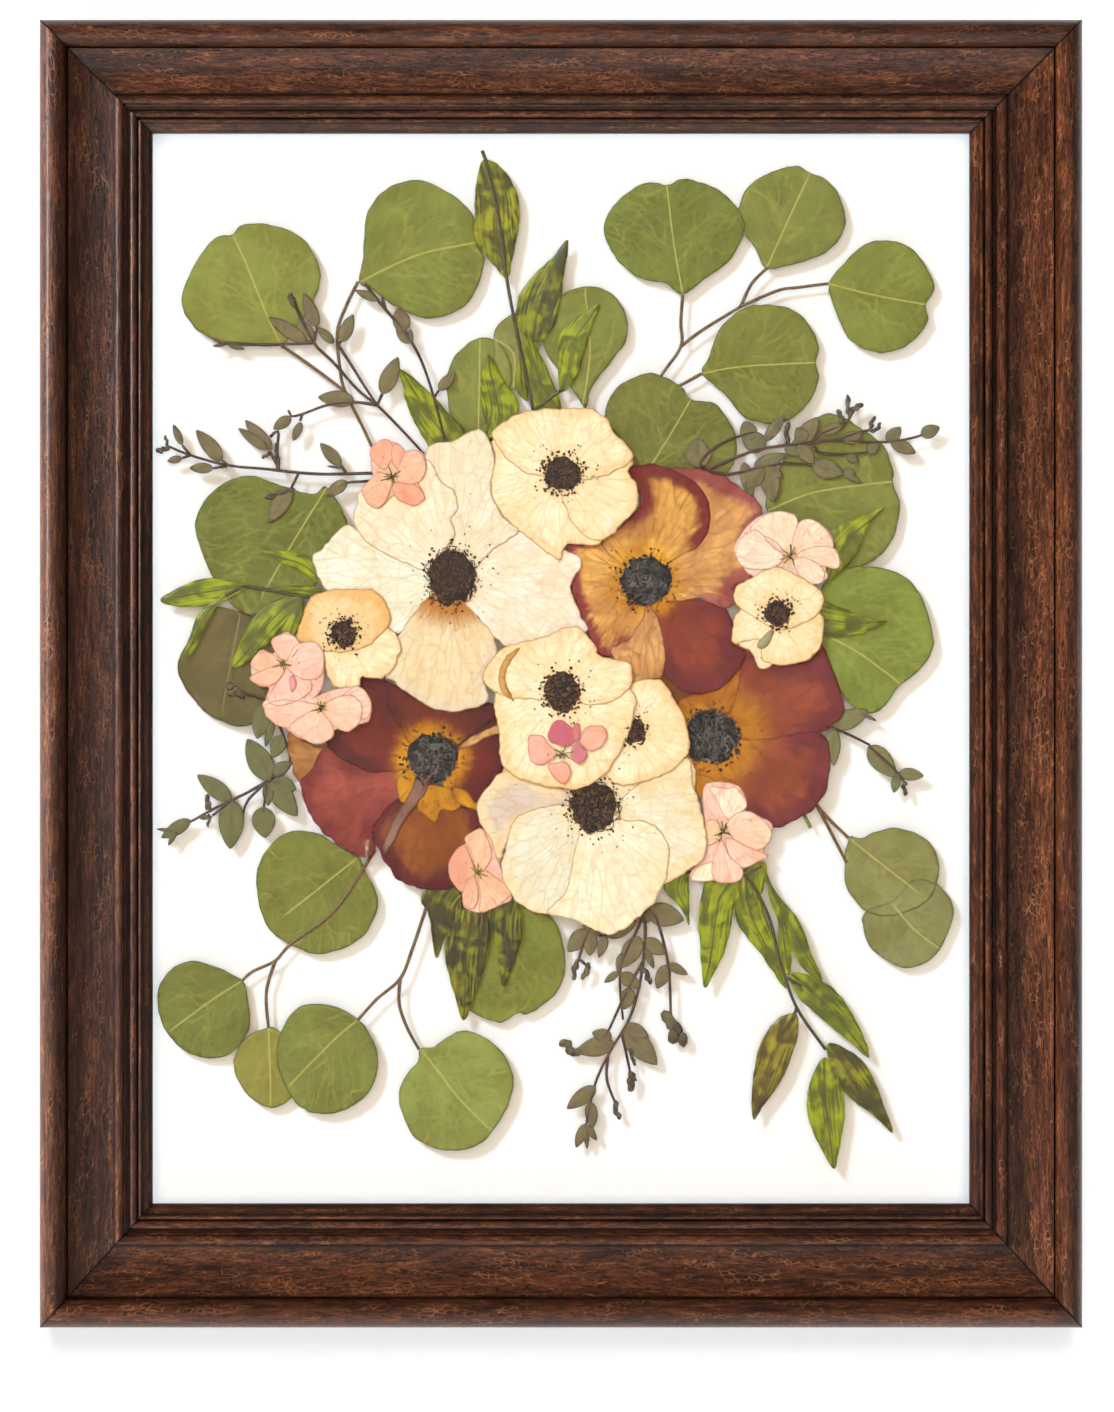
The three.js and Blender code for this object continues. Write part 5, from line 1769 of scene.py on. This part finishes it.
def add_leaf(blades, key, text, slot, tint, seed, **settings):
    midrib = read_points(MIDRIBS[key]) if key in MIDRIBS else midrib_of(dense(text))
    blades.sheet(
        dense(text, 0.3), slot, 0.16, leaf_lay(midrib), tint, seed=seed, ridge=midrib, **settings
    )


for number, (node, keys) in enumerate(EUCALYPTUS_PIECES.items()):
    blades = Blades(layer_of(node))
    for key in keys:
        add_leaf(blades, key, EUCALYPTUS[key], 0, LEAF_TINTS.get(key, "#81873B"), number * 5 + len(key))
        if key in STEMS:
            for line in STEMS[key]:
                blades.stem(line, 1, 0.24, 1.15, STEM_BROWN)
    leaf_skin = brown_eucalyptus if node == "eucalyptus_leaf_left_low" else eucalyptus
    if node == "eucalyptus_leaf_upper":
        tucked = "493,338 505,318 525,313 540,335 538,352 520,385 500,385"
        add_leaf(blades, "e8", tucked, 0, "#8C8C4C", 8)
    if node == "eucalyptus_right":
        blades.stem("803,814 807,820 811,828", 1, 0.24, 1.3, "#7E9A30")
    blades.finish(f"pressed_{node}", node, [leaf_skin, bark], "eucalyptus")

# %% [markdown]
# ## Ruscus
# Ruscus is stiffer than eucalyptus and its leaves are long and pointed. They dry in waves, so
# their nets are lifted more.

# %% Ruscus leaves
RUSCUS_PIECES = {
    "ruscus_top": ["r1", "r2", "r2b", "r3", "r4", "r4b", "r5"],
    "ruscus_left": ["r6", "r7", "r8", "r9", "r10", "r10b"],
    "ruscus_leaf_right_high": ["r11"],
    "ruscus_leaf_right_low": ["r12"],
    "ruscus_bottom_left": ["r13a", "r13b", "r14"],
    "ruscus_bottom_right": ["r15", "r16", "r17", "r17b", "r18", "r18b", "r19", "r20", "r21", "r22"],
}
RUSCUS_TINTS = {
    "r1": "#6A6406", "r2": "#545402", "r13a": "#4A3C0C", "r13b": "#4A3C0C", "r14": "#463A0A",
    "r20": "#7A5E20", "r22": "#5E5410",
}
for number, (node, keys) in enumerate(RUSCUS_PIECES.items()):
    blades = Blades(layer_of(node))
    for k, key in enumerate(keys):
        tint = RUSCUS_TINTS.get(key, "#848C04")
        add_leaf(blades, key, RUSCUS[key], 0, tint, number * 11 + k, wave=0.2, curl=0.05, step=1.15)
        if key in STEMS:
            for line in STEMS[key]:
                blades.stem(line, 1, 0.26, 1.2, "#4E4420")
    blades.finish(f"pressed_{node}", node, [ruscus, bark], "ruscus")


# %% [markdown]
# ## Small twigs
# The thin twigs carry grey leaflets in pairs and dark buds. A leaflet is drawn from its base, its
# tip and its width, because a dozen pixels show no more of its shape than that.


# %% Twigs
def leaflet_outline(base, tip, width, full=0.42):
    """A pointed oval from base to tip, widest at a share of its length."""
    run = np.array(tip) - np.array(base)
    length = np.linalg.norm(run)
    axis = run / length
    across = np.array([-axis[1], axis[0]])
    shares = np.linspace(0, 1, 11)
    widths = np.sin(np.pi * shares ** (math.log(0.5) / math.log(full))) ** 0.7 * width / 2
    left = [np.array(base) + axis * s * length + across * w for s, w in zip(shares, widths)]
    right = [np.array(base) + axis * s * length - across * w for s, w in zip(shares, widths)]
    return [tuple(p) for p in (*left, *right[-2:0:-1])]


def read_leaflets(text):
    """Base, tip and width, in millimetres, of each leaflet in a list."""
    for part in filter(None, (p.strip() for p in text.split(";"))):
        base, tip, width = part.split(" ")
        yield (*read_points(f"{base} {tip}"), float(width) * PIXEL)


TWIG_TINTS = {"s5": "#72703E", "s7": "#84804E", "s4": "#7C7248"}
for number, (key, twig) in enumerate(TWIGS.items()):
    node = f"twig_{key}"
    blades = Blades(layer_of(node))
    shades = random.Random(number)
    for line in twig["stems"]:
        blades.stem(line, 1, 0.2, 1.1, "#4C2C18", taper=0.72)
    for base, tip, width in read_leaflets(twig["leaves"]):
        outline = leaflet_outline(base, tip, width)
        tint = TWIG_TINTS.get(key, "#7E7046")
        height = 0.18 + shades.random() * 0.1
        midrib = [base, tuple((np.array(base) + np.array(tip)) / 2), tip]
        blades.sheet(
            smooth_curve(outline, True, 0.6), 0, height, leaf_lay(midrib), tint, step=0.8,
            seed=shades.random() * 50, wave=0.08, curl=0.06, ridge=midrib, thickness=0.1,
        )
    for base, tip, width in read_leaflets(twig["buds"]):
        (bx, by), (tx, ty) = base, tip
        turn = math.atan2(ty - by, tx - bx)
        length = math.dist(base, tip)
        for k in range(5):
            share = (k + 0.5) / 5
            lean = (shades.random() - 0.5) * width * 0.55
            x = bx + (tx - bx) * share - math.sin(turn) * lean
            y = by + (ty - by) * share + math.cos(turn) * lean
            blades.lump(
                x, y, 0.24, length * 0.26, width * 0.3, min(0.26, width / 3), 1,
                shades.choice(["#5A4C30", "#6E6040", "#463622"]), turn=turn + (shades.random() - 0.5),
                rows=4, sides=7, rough=0.35, seed=int(shades.random() * 99),
            )
    blades.finish(f"pressed_{node}", node, [twig_leaf, bark], "twig")

# %% [markdown]
# ## Flowers
# Each flower is a handful of petals laid over each other with a dark middle of crushed stamens
# on top. The petals' colours were judged one by one, since pressing browns them unevenly.

# %% Flowers
CREAM = "#FEF0CA"
CREAM_RIM = "#FBE2B2"
CREAM_HEART = "#FBE2B0"
# The outer colour, the middle colour, the heart's colour, the heart's radius and the rim's width
PETAL_LOOKS = {
    "a_left": ("#F1F1DD", "#F3F4DF", "#E0E4C4", 9, 3),
    "a_bottom": ("#ECDEC4", "#F2DCB3", "#C08038", 17, 4),
    "a_right": ("#FDF0DF", "#FCEFD9", "#F1DEB7", 8, 3),
    "a_top": ("#F1ECD3", "#F3ECD1", "#E6D8AA", 9, 3),
    "a_front": ("#FAF1D9", "#FAEDD1", "#EEDCAF", 8, 3),
    "e_left": ("#F4DEB6", "#DECCBD", "#F5E6C3", 8, 5),
    "e_right": ("#F6E6BF", "#F5EDD2", "#F8E6BB", 12, 5),
    "e_low_left": ("#F5E6C3", "#F0EDD6", "#F8E6BB", 12, 4),
    "e_low": ("#FDEFCC", "#FDF3D6", "#F5E5B9", 9, 4),
    "e_top": ("#F8E6BD", "#FAEBC5", "#F1D8A6", 8, 3),
    "f_top": ("#F5C381", "#F8D8A3", "#F2D8A1", 7, 4),
    "p1_low": ("#7A3034", "#964430", "#F0A80C", 13, 6),
    "p1_left": ("#A04648", "#F4B860", "#F2B038", 13, 4),
    "p1_peach": ("#E3A868", "#E8AE6C", "#E8A64C", 12, 3),
    "p1_right": ("#B0605A", "#E8AC66", "#F0B03C", 13, 5),
    "p1_top": ("#86302E", "#ECB058", "#EEAA28", 13, 5),
    "p2_back": ("#B88048", "#C89454", "#D09440", 12, 3),
    "p2_low": ("#6C262A", "#9A5820", "#C88214", 10, 5),
    "p2_low_left": ("#8E3E3A", "#AD5749", "#F4B018", 13, 5),
    "p2_left": ("#602626", "#84362E", "#F4AE18", 13, 5),
    "p2_top": ("#541C1C", "#72301E", "#EAA012", 12, 4),
    "p2_right": ("#5A181C", "#762624", "#F4AE18", 13, 5),
    "p3_gold": ("#A8641C", "#BE781E", "#D08A14", 13, 3),
    "p3_top": ("#80383A", "#9E4E36", "#C88420", 20, 8),
    "p3_low": ("#80363A", "#A85A3A", "#D08A1E", 17, 7),
}
# Small extra petals and scraps, and on flower c a painted shade: their colour and outline, first those
# under the large petals
UNDER_PETALS = {
    "p2": [("#6A3626", "450,745 478,722 505,700 515,700 515,745 500,770 470,770 455,760")],
    "p3": [("#7E4C1C", "652,672 690,662 722,672 732,700 716,722 690,724 660,712")],
    "g": [("#FBE9C4", "736,634 752,628 770,638 772,664 760,668 750,652 740,646")],
    "p1": [("#B4684C", "728,628 746,618 756,634 752,652 736,654")],
}
OVER_PETALS_AND_SHADE = {
    "p2": [
        ("#D8981A", "398,777 414,768 421,786 415,801 403,803 398,796"),
        ("#D8981A", "419,790 430,785 452,789 462,800 455,812 443,810 437,823 429,818 419,811 416,800"),
        ("#DDA01C", "452,786 462,789 475,800 482,811 467,807 454,800"),
        ("#E2B06C", "452,752 470,738 490,727 505,723 504,732 486,738 468,747"),
        ("#96705E", "430,745 438,748 432,775 424,795 405,820 388,852 383,846 392,822 408,795 420,770"),
        ("#EACDB0", "366,841 370,841 369,856 365,856"),
    ],
    "p3": [
        ("#C8861C", "700,725 716,716 728,724 724,742 702,744 690,735"),
        ("#C8861C", "690,775 712,778 722,792 715,802 700,798"),
    ],
    # On flower c the amber crescent over its left petal is painted shade
    "c": [("#D2A260", "520,648 508,654 500,668 498,682 503,694 514,701 507,686 506,673 511,661")],
    "g": [("#9AA07C", "757,646 763,636 773,630 771,640 764,648")],
}
MAROON_FLOWERS = ("p1", "p2", "p3")
BROWN_GRAINS = ["#2A160A", "#3E220E", "#542F12", "#6E441C", "#8A5C2A"]
GREY_GRAINS = ["#1C1716", "#2C2624", "#423A36", "#120E0D", "#5A514B"]


def scatter(blades, chance, middle, radii, count, size, height, colours, low=0.0, high=1.0):
    """Strews grains over an ellipse between two shares of its radius."""
    for _ in range(count):
        reach = low + (high - low) * chance.random() ** 0.6
        turn = chance.random() * 2 * math.pi
        x = middle[0] + math.cos(turn) * radii[0] * reach
        y = middle[1] + math.sin(turn) * radii[1] * reach
        wide = size * (0.6 + 0.8 * chance.random())
        blades.lump(
            x,
            y,
            height + 0.16 * chance.random(),
            wide,
            wide * (0.5 + 0.4 * chance.random()),
            wide * 0.55,
            1,
            chance.choice(colours),
            turn=chance.random() * 3.1,
            rows=4,
            sides=6,
        )


def tangle(blades, chance, middle, radii, count, length, height, colours, width=0.14):
    """Curls fine filaments over an ellipse."""
    for _ in range(count):
        reach = chance.random() ** 0.5 * 0.92
        turn = chance.random() * 2 * math.pi
        x, y = (
            middle[0] + math.cos(turn) * radii[0] * reach,
            middle[1] + math.sin(turn) * radii[1] * reach,
        )
        bend = turn + 1.0 + chance.random() * 2
        run = length * (0.5 + chance.random())
        line = [
            (x, y),
            (x + math.cos(bend) * run * 0.5, y + math.sin(bend) * run * 0.5),
            (x + math.cos(bend + 0.8) * run, y + math.sin(bend + 0.8) * run),
        ]
        blades.stem(line, 1, height + 0.2 * chance.random(), width, chance.choice(colours), flat=0.8)


def ragged_disc(blades, middle, radii, height, colour, seed):
    """The torn dark pad under the grains."""
    edge = []
    for i in range(40):
        turn = i / 40 * 2 * math.pi
        reach = (
            0.93
            + 0.22 * noise.noise(Vector((math.cos(turn) * 2.2, math.sin(turn) * 2.2, seed * 3.3)))
        )
        edge.append(
            (
                middle[0] + math.cos(turn) * radii[0] * reach,
                middle[1] + math.sin(turn) * radii[1] * reach,
            ),
        )
    blades.sheet(
        edge, 1, height, petal_lay(middle, 5), colour, step=1.0, seed=seed, wave=0.15, curl=0.0,
        thickness=0.1,
    )


for number, name in enumerate(("a", "b", "c", "d", "e", "f", "g", *MAROON_FLOWERS)):
    node = f"flower_{name}"
    centre_text, rx, ry = DISCS[node].split(" ")
    (middle,) = read_points(centre_text)
    radii = (float(rx) * PIXEL, float(ry) * PIXEL)
    blades = Blades(layer_of(node))
    chance = random.Random(100 + number)
    keys = [key for key in PETALS if key.startswith(name + "_")]
    for k, key in enumerate(keys):
        tint, mid, heart, zone, band = PETAL_LOOKS.get(key, (CREAM_RIM, CREAM, CREAM_HEART, 8, 3))
        blades.sheet(
            dense(PETALS[key], 0.5, 0.8), 0, 0.08 + 0.09 * k, petal_lay(middle, zone), tint, mid, heart,
            seed=number * 9 + k, wave=0.06, curl=0.03, thickness=0.05, band=band,
        )
    top = 0.1 + 0.09 * len(keys)
    is_maroon = name in MAROON_FLOWERS
    grains = GREY_GRAINS if is_maroon else BROWN_GRAINS
    # Scraps go under the petals and over them; on flower c one is painted shade
    scraps_and_shade = [(0.02, *extra_sheet) for extra_sheet in UNDER_PETALS.get(name, ())]
    scraps_and_shade += [(top - 0.02 + 0.03 * k, *extra_sheet) for k, extra_sheet in enumerate(OVER_PETALS_AND_SHADE.get(name, ()))]
    for height, colour, text in scraps_and_shade:
        blades.sheet(
            dense(text, 0.5, 0.8), 0, height, petal_lay(middle, 1), colour, seed=number, wave=0.03,
            curl=0.02, thickness=0.05,
        )
    ragged_disc(blades, middle, radii, top + 0.07, grains[0], number)
    area = int(radii[0] * radii[1])
    scatter(blades, chance, middle, radii, area * 4 + 50, 0.5, top + 0.12, grains)
    scatter(blades, chance, middle, radii, 60, 0.42, top + 0.05, grains[:3], 0.9, 1.3)
    scatter(blades, chance, middle, radii, 22, 0.3, top + 0.02, grains[:2], 1.3, 1.9)
    if is_maroon:
        # Grey hairs curl over the dark middle; their palest greys are painted sheen
        tangle(
            blades, chance, middle, radii, 230, 2.6, top + 0.35,
            ["#5A544E", "#7E7770", "#A8A098", "#2A2422", "#151110"], 0.24,
        )
        tangle(
            blades,
            chance,
            middle,
            (radii[0] * 1.15, radii[1] * 1.15),
            40,
            3.2,
            top + 0.1,
            ["#1C1210"],
            0.3,
        )
    elif name in ("a", "e"):
        tangle(
            blades, chance, middle, (radii[0] * 1.2, radii[1] * 1.2), 90, 4.0, top + 0.15,
            ["#1C110A", "#2C1B10", "#46301C", "#120A06"], 0.3,
        )
    material = maroon if is_maroon else cream
    slot = "maroon_petal" if is_maroon else "cream_petal"
    blades.finish(f"pressed_{node}", node, [material, pollen], slot)

# %% [markdown]
# ## Florets
# The small pink florets come from a hydrangea-like head. Their petals overlap so closely that the
# outline of the whole floret is drawn, and the gaps between petals are shallow dark rays.

# %% Petals of the florets
FLORET_PETALS = {
    "k1": [
        ("#F8BD9F", "384,470 371,458 373,446 386,439 394,447 392,460"),
        ("#F6C0A1", "393,464 392,448 399,444 406,455 401,470"),
        ("#F9CCAA", "397,479 400,462 408,451 420,452 426,464 424,478 416,484 404,485"),
        ("#F8C5A1", "391,478 379,472 368,482 362,492 369,505 379,508 388,499 392,486"),
        ("#F7B797", "392,483 402,483 417,486 425,498 415,506 404,503 396,498"),
    ],
    "k2": [
        ("#FDEFD0", "788,554 772,540 750,531 760,518 779,511 795,516 798,528 795,545"),
        ("#FCE7C8", "792,553 796,527 806,519 818,522 829,534 833,549 812,554"),
        ("#FCE7CA", "798,553 815,546 834,548 840,563 836,569 822,567 808,572 798,561"),
        ("#FEF0D8", "784,556 771,545 757,530 742,537 735,552 742,566 760,570 776,567"),
        ("#FDEDD2", "793,560 803,557 815,562 824,570 822,583 806,584 798,575"),
    ],
    "k3": [
        ("#FCD8C1", "286,668 276,684 268,700 278,706 300,700 312,690 310,676 298,667"),
        ("#FCDAC3", "283,661 272,645 275,637 290,634 300,643 294,656"),
        ("#FCD7C3", "286,663 297,645 315,642 324,655 322,675 305,680 291,672"),
        ("#FBCFAF", "283,661 268,652 256,655 251,666 262,672 279,668"),
        ("#FBD6B9", "283,663 264,670 250,678 262,686 275,684 285,672"),
        ("#F1A7AF", "290,679 294,675 297,684 292,692"),
    ],
    "k4": [
        ("#FCD8BF", "321,707 300,701 278,700 265,706 268,718 285,728 306,723"),
        ("#FDD5BB", "336,704 352,688 362,688 372,702 368,718 356,717"),
        ("#FCD7BB", "321,709 300,717 290,728 302,738 318,744 334,736 331,720"),
        ("#FDDBBF", "323,708 335,698 352,695 362,705 360,722 348,732 333,725"),
    ],
    "k5": [
        ("#F8BCA6", "557,753 548,743 543,736 530,735 528,745 530,760 540,765 553,759"),
        ("#F7C2AA", "580,741 583,731 590,726 604,727 607,735 603,745 592,751 584,748"),
        ("#F7C2AA", "558,762 566,762 571,772 567,782 560,783 551,774 548,765"),
        ("#CC6B81", "562,746 550,741 548,733 554,722 562,720 572,728 576,738 570,746"),
        ("#DC818B", "576,742 572,732 575,724 579,724 580,738"),
        ("#D48392", "578,743 586,750 587,757 579,764 571,757 572,748"),
    ],
    "k6": [
        ("#F6D2AE", "477,872 470,850 465,838 480,828 488,838 492,856 485,870"),
        ("#F2BC9F", "475,871 465,845 452,855 448,870 452,882 462,892 471,884"),
        ("#F6CDA6", "478,873 480,895 480,912 494,908 510,896 512,888 500,880 487,871"),
        ("#F4C4A3", "475,877 466,882 462,898 466,908 474,908 479,896"),
    ],
    "k7": [
        ("#FDF5D1", "690,878 700,866 714,862 716,876 712,881 694,881"),
        ("#FDEDCF", "728,820 716,800 710,787 728,788 736,787 747,803 742,812"),
        ("#FCD9AF", "721,838 705,846 702,832 708,820 718,822"),
        ("#FCE8CA", "726,825 738,812 752,812 764,820 772,833 766,846 750,852 735,841"),
        ("#FCDCC4", "726,837 745,845 768,856 758,862 742,868 729,856"),
        ("#FCD9BE", "722,840 730,856 742,868 740,880 722,883 712,876 714,856"),
    ],
}

# %% Florets
FLORET_PIECES = {
    "florets_k1": [("k1", "392,477", "#F9CDB4", "#8A6E34")],
    "florets_k2": [("k2", "790,556", "#FBE0D0", "#9A8A5A")],
    "florets_k3": [("k3", "283,664", "#F9D3C4", "#8A7444"), ("k4", "322,708", "#FAD6C6", "#9C7A3C")],
    "florets_k5": [("k5", "562,754", "#F8CDB8", "#B08A5C")],
    "florets_k6": [("k6", "477,873", "#F9CDB8", "#A8924C")],
    "florets_k7": [("k7", "722,832", "#FAD2BC", "#8A7A48")],
}
for number, (node, florets) in enumerate(FLORET_PIECES.items()):
    blades = Blades(layer_of(node))
    chance = random.Random(300 + number)
    for key, middle_text, tint, thread in florets:
        (middle,) = read_points(middle_text)
        shared = {"step": 0.8, "thickness": 0.05}
        if key != "k5":
            blades.sheet(
                dense(FLORETS[key], 0.15, 0.8), 0, 0.05, petal_lay(middle, 4), tint, tint, "#EBCFA0",
                seed=number + 60, wave=0.04, curl=0.0, **shared,
            )
        for k, (colour, outline) in enumerate(FLORET_PETALS[key]):
            blades.sheet(
                dense(outline, 0.18, 0.6),
                0,
                0.1 + 0.05 * k,
                petal_lay(middle, 2.6),
                colour,
                colour,
                "#EFD2A0",
                seed=number * 7 + k,
                wave=0.06,
                curl=0.05,
                **shared,
            )
        for _ in range(11):
            turn = chance.random() * 2 * math.pi
            length = 1.2 + chance.random() * 2.6
            end = (middle[0] + math.cos(turn) * length, middle[1] + math.sin(turn) * length)
            halfway = ((middle[0] + end[0]) / 2 + 0.2, (middle[1] + end[1]) / 2)
            blades.stem([middle, halfway, end], 1, 0.42, 0.34, thread, flat=0.6)
        scatter(blades, chance, middle, (0.9, 1.1), 9, 0.26, 0.4, ["#4A3A1C", "#2E2414", "#6E5A2A"])
        scatter(blades, chance, middle, (4.5, 4.5), 5, 0.17, 0.34, ["#4A2414", "#2A1810"], 0.4, 1.2)
    blades.finish(f"pressed_{node}", node, [pink, pollen], "pink_petal")

# %% [markdown]
# ## Wall, floor and light
# The frame hangs on a plain white wall. One lamp, high on the left, makes the shadows that fall
# down and to the right of each leaf. It is a little cool and the wide fill is a little warm, so
# the board stays white while the shadows turn beige. The frame's lip casts no shadow from that
# lamp, since the photograph shows only a narrow soft one there.

# %% Stage
wall_mesh = bpy.data.meshes.new("wall")
wall_y = cad_high.y + 0.0004
wall_mesh.from_pydata(
    [(-6, wall_y, -1.2), (6, wall_y, -1.2), (6, wall_y, 5), (-6, wall_y, 5)], [], [(0, 1, 2, 3)]
)
wall = bpy.data.objects.new("wall", wall_mesh)
floor_mesh = bpy.data.meshes.new("floor")
floor_mesh.from_pydata([(-6, -8, -1.2), (6, -8, -1.2), (6, 8, -1.2), (-6, 8, -1.2)], [], [(0, 1, 2, 3)])
floor = bpy.data.objects.new("floor", floor_mesh)

wall_paint, tree, output = new_material("matt_white_wall_paint")
where = add(tree, "TexCoord")
roller = add(tree, "TexNoise", {"Vector": where.outputs["Object"], "Scale": 400.0, "Detail": 3.0})
roller_bump = add(tree, "Bump", {"Height": roller.outputs["Fac"], "Strength": 0.05, "Distance": 0.0005})
paint = add(
    tree,
    "BsdfPrincipled",
    {"Base Color": "#F6F6F5", "Roughness": 0.9, "Normal": roller_bump.outputs[0],
     "Emission Color": (1, 1, 1, 1), "Emission Strength": 0.5},
)
seen_from = add(tree, "NewGeometry")
open_back = add(tree, "BsdfTransparent")
one_sided = add(
    tree,
    "MixShader",
    {0: seen_from.outputs["Backfacing"], 1: paint.outputs[0], 2: open_back.outputs[0]},
)
tree.links.new(one_sided.outputs[0], output.inputs[0])

floor_paint, tree, output = new_material("pale_matt_floor")
pale = add(tree, "BsdfPrincipled", {"Base Color": "#EFEDEA", "Roughness": 0.8})
tree.links.new(pale.outputs[0], output.inputs[0])
for each, paint_of in ((wall, wall_paint), (floor, floor_paint)):
    each.data.materials.append(paint_of)
    scene.collection.objects.link(each)

# %% Light
LAMP_COOL = (0.66, 0.82, 1.0)
FILL_WARM = (1.0, 0.82, 0.62)
ROOM_WHITE = (1.0, 0.96, 0.92)


def add_lamp(name, at, size, watts, colour, aim=(0, 0, 0)):
    data = bpy.data.lights.new(name, "AREA")
    data.shape = "DISK"
    data.size = size
    data.energy = watts
    data.color = colour
    made = bpy.data.objects.new(name, data)
    scene.collection.objects.link(made)
    made.location = at
    made.rotation_euler = (Vector(aim) - Vector(at)).to_track_quat("-Z", "Y").to_euler()
    return made


def light_group(name, members, state):
    """A collection that a lamp takes in or leaves out."""
    group = bpy.data.collections.new(name)
    for each in members:
        group.objects.link(each)
    for each in group.collection_objects:
        each.light_linking.link_state = state
    return group


spacers = [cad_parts[f"spacer_{word}"] for word in ("top", "left", "right", "bottom")]
woodwork = [*rails, *joints]
past_the_lip = light_group("past_the_lip", [*rails, *spacers], "EXCLUDE")
not_the_wall = light_group("not_the_wall", [wall], "EXCLUDE")
only_the_wall = light_group("only_the_wall", [wall], "INCLUDE")
only_the_picture = light_group("only_the_picture", [wall, *woodwork], "EXCLUDE")
only_the_wood = light_group("only_the_wood", woodwork, "INCLUDE")
# The cool lamp draws the flowers' shadows, and the soft warm one in front lights up the shadows
key_lamp = add_lamp("key", (-2.1, -3.0, 2.1), 0.95, 124, LAMP_COOL)
key_lamp.light_linking.blocker_collection = past_the_lip
key_lamp.light_linking.receiver_collection = only_the_picture
fill_lamp = add_lamp("fill", (0.0, -3.0, 0.25), 2.2, 50, FILL_WARM)
fill_lamp.light_linking.receiver_collection = not_the_wall
fill_lamp.visible_glossy = False
# The soft wood lamp has no glint of its own, and the strip gives the left bead its silvery line
wood_lamp = add_lamp("wood", (-2.2, -0.8, -0.25), 0.7, 150, (1.0, 0.96, 0.92))
wood_lamp.light_linking.receiver_collection = only_the_wood
wood_lamp.visible_glossy = False
left_rail = [rail for rail in rails if "left" in rail.name]
strip_lamp = add_lamp("strip", (-1.6, -1.3, 0.3), 0.5, 22, (0.94, 0.97, 1.0))
strip_lamp.light_linking.receiver_collection = light_group("only_the_left_rail", left_rail, "INCLUDE")
wall_lamp = add_lamp("wall", (0.0, -2.6, 1.1), 1.2, 38, (1, 1, 1))
wall_lamp.light_linking.receiver_collection = only_the_wall
back_lamp = add_lamp("back", (-0.8, 2.2, 1.2), 1.6, 40, (1.0, 0.97, 0.94))

world = bpy.data.worlds.new("room")
scene.world = world
world.cycles.sampling_method = "NONE"
world.use_nodes = True
tree = world.node_tree
tree.nodes.clear()
ray_kind = add(tree, "LightPath")
seen = add(tree, "Background", {0: (0.98, 0.98, 0.98, 1), 1: 1.0})
given = add(tree, "Background", {0: (*ROOM_WHITE, 1), 1: 0.12})
room = add(
    tree, "MixShader", {0: ray_kind.outputs["Is Camera Ray"], 1: given.outputs[0], 2: seen.outputs[0]}
)
room_out = add(tree, "OutputWorld", {0: room.outputs[0]})

scene.view_settings.view_transform = "Standard"
scene.view_settings.look = "None"
scene.cycles.use_denoising = True
scene.cycles.use_adaptive_sampling = True
scene.cycles.adaptive_threshold = 0.1
scene.cycles.max_bounces = 8
scene.cycles.diffuse_bounces = 2
scene.cycles.glossy_bounces = 2
scene.cycles.transmission_bounces = 6
scene.cycles.transparent_max_bounces = 12
scene.cycles.sample_clamp_indirect = 4.0
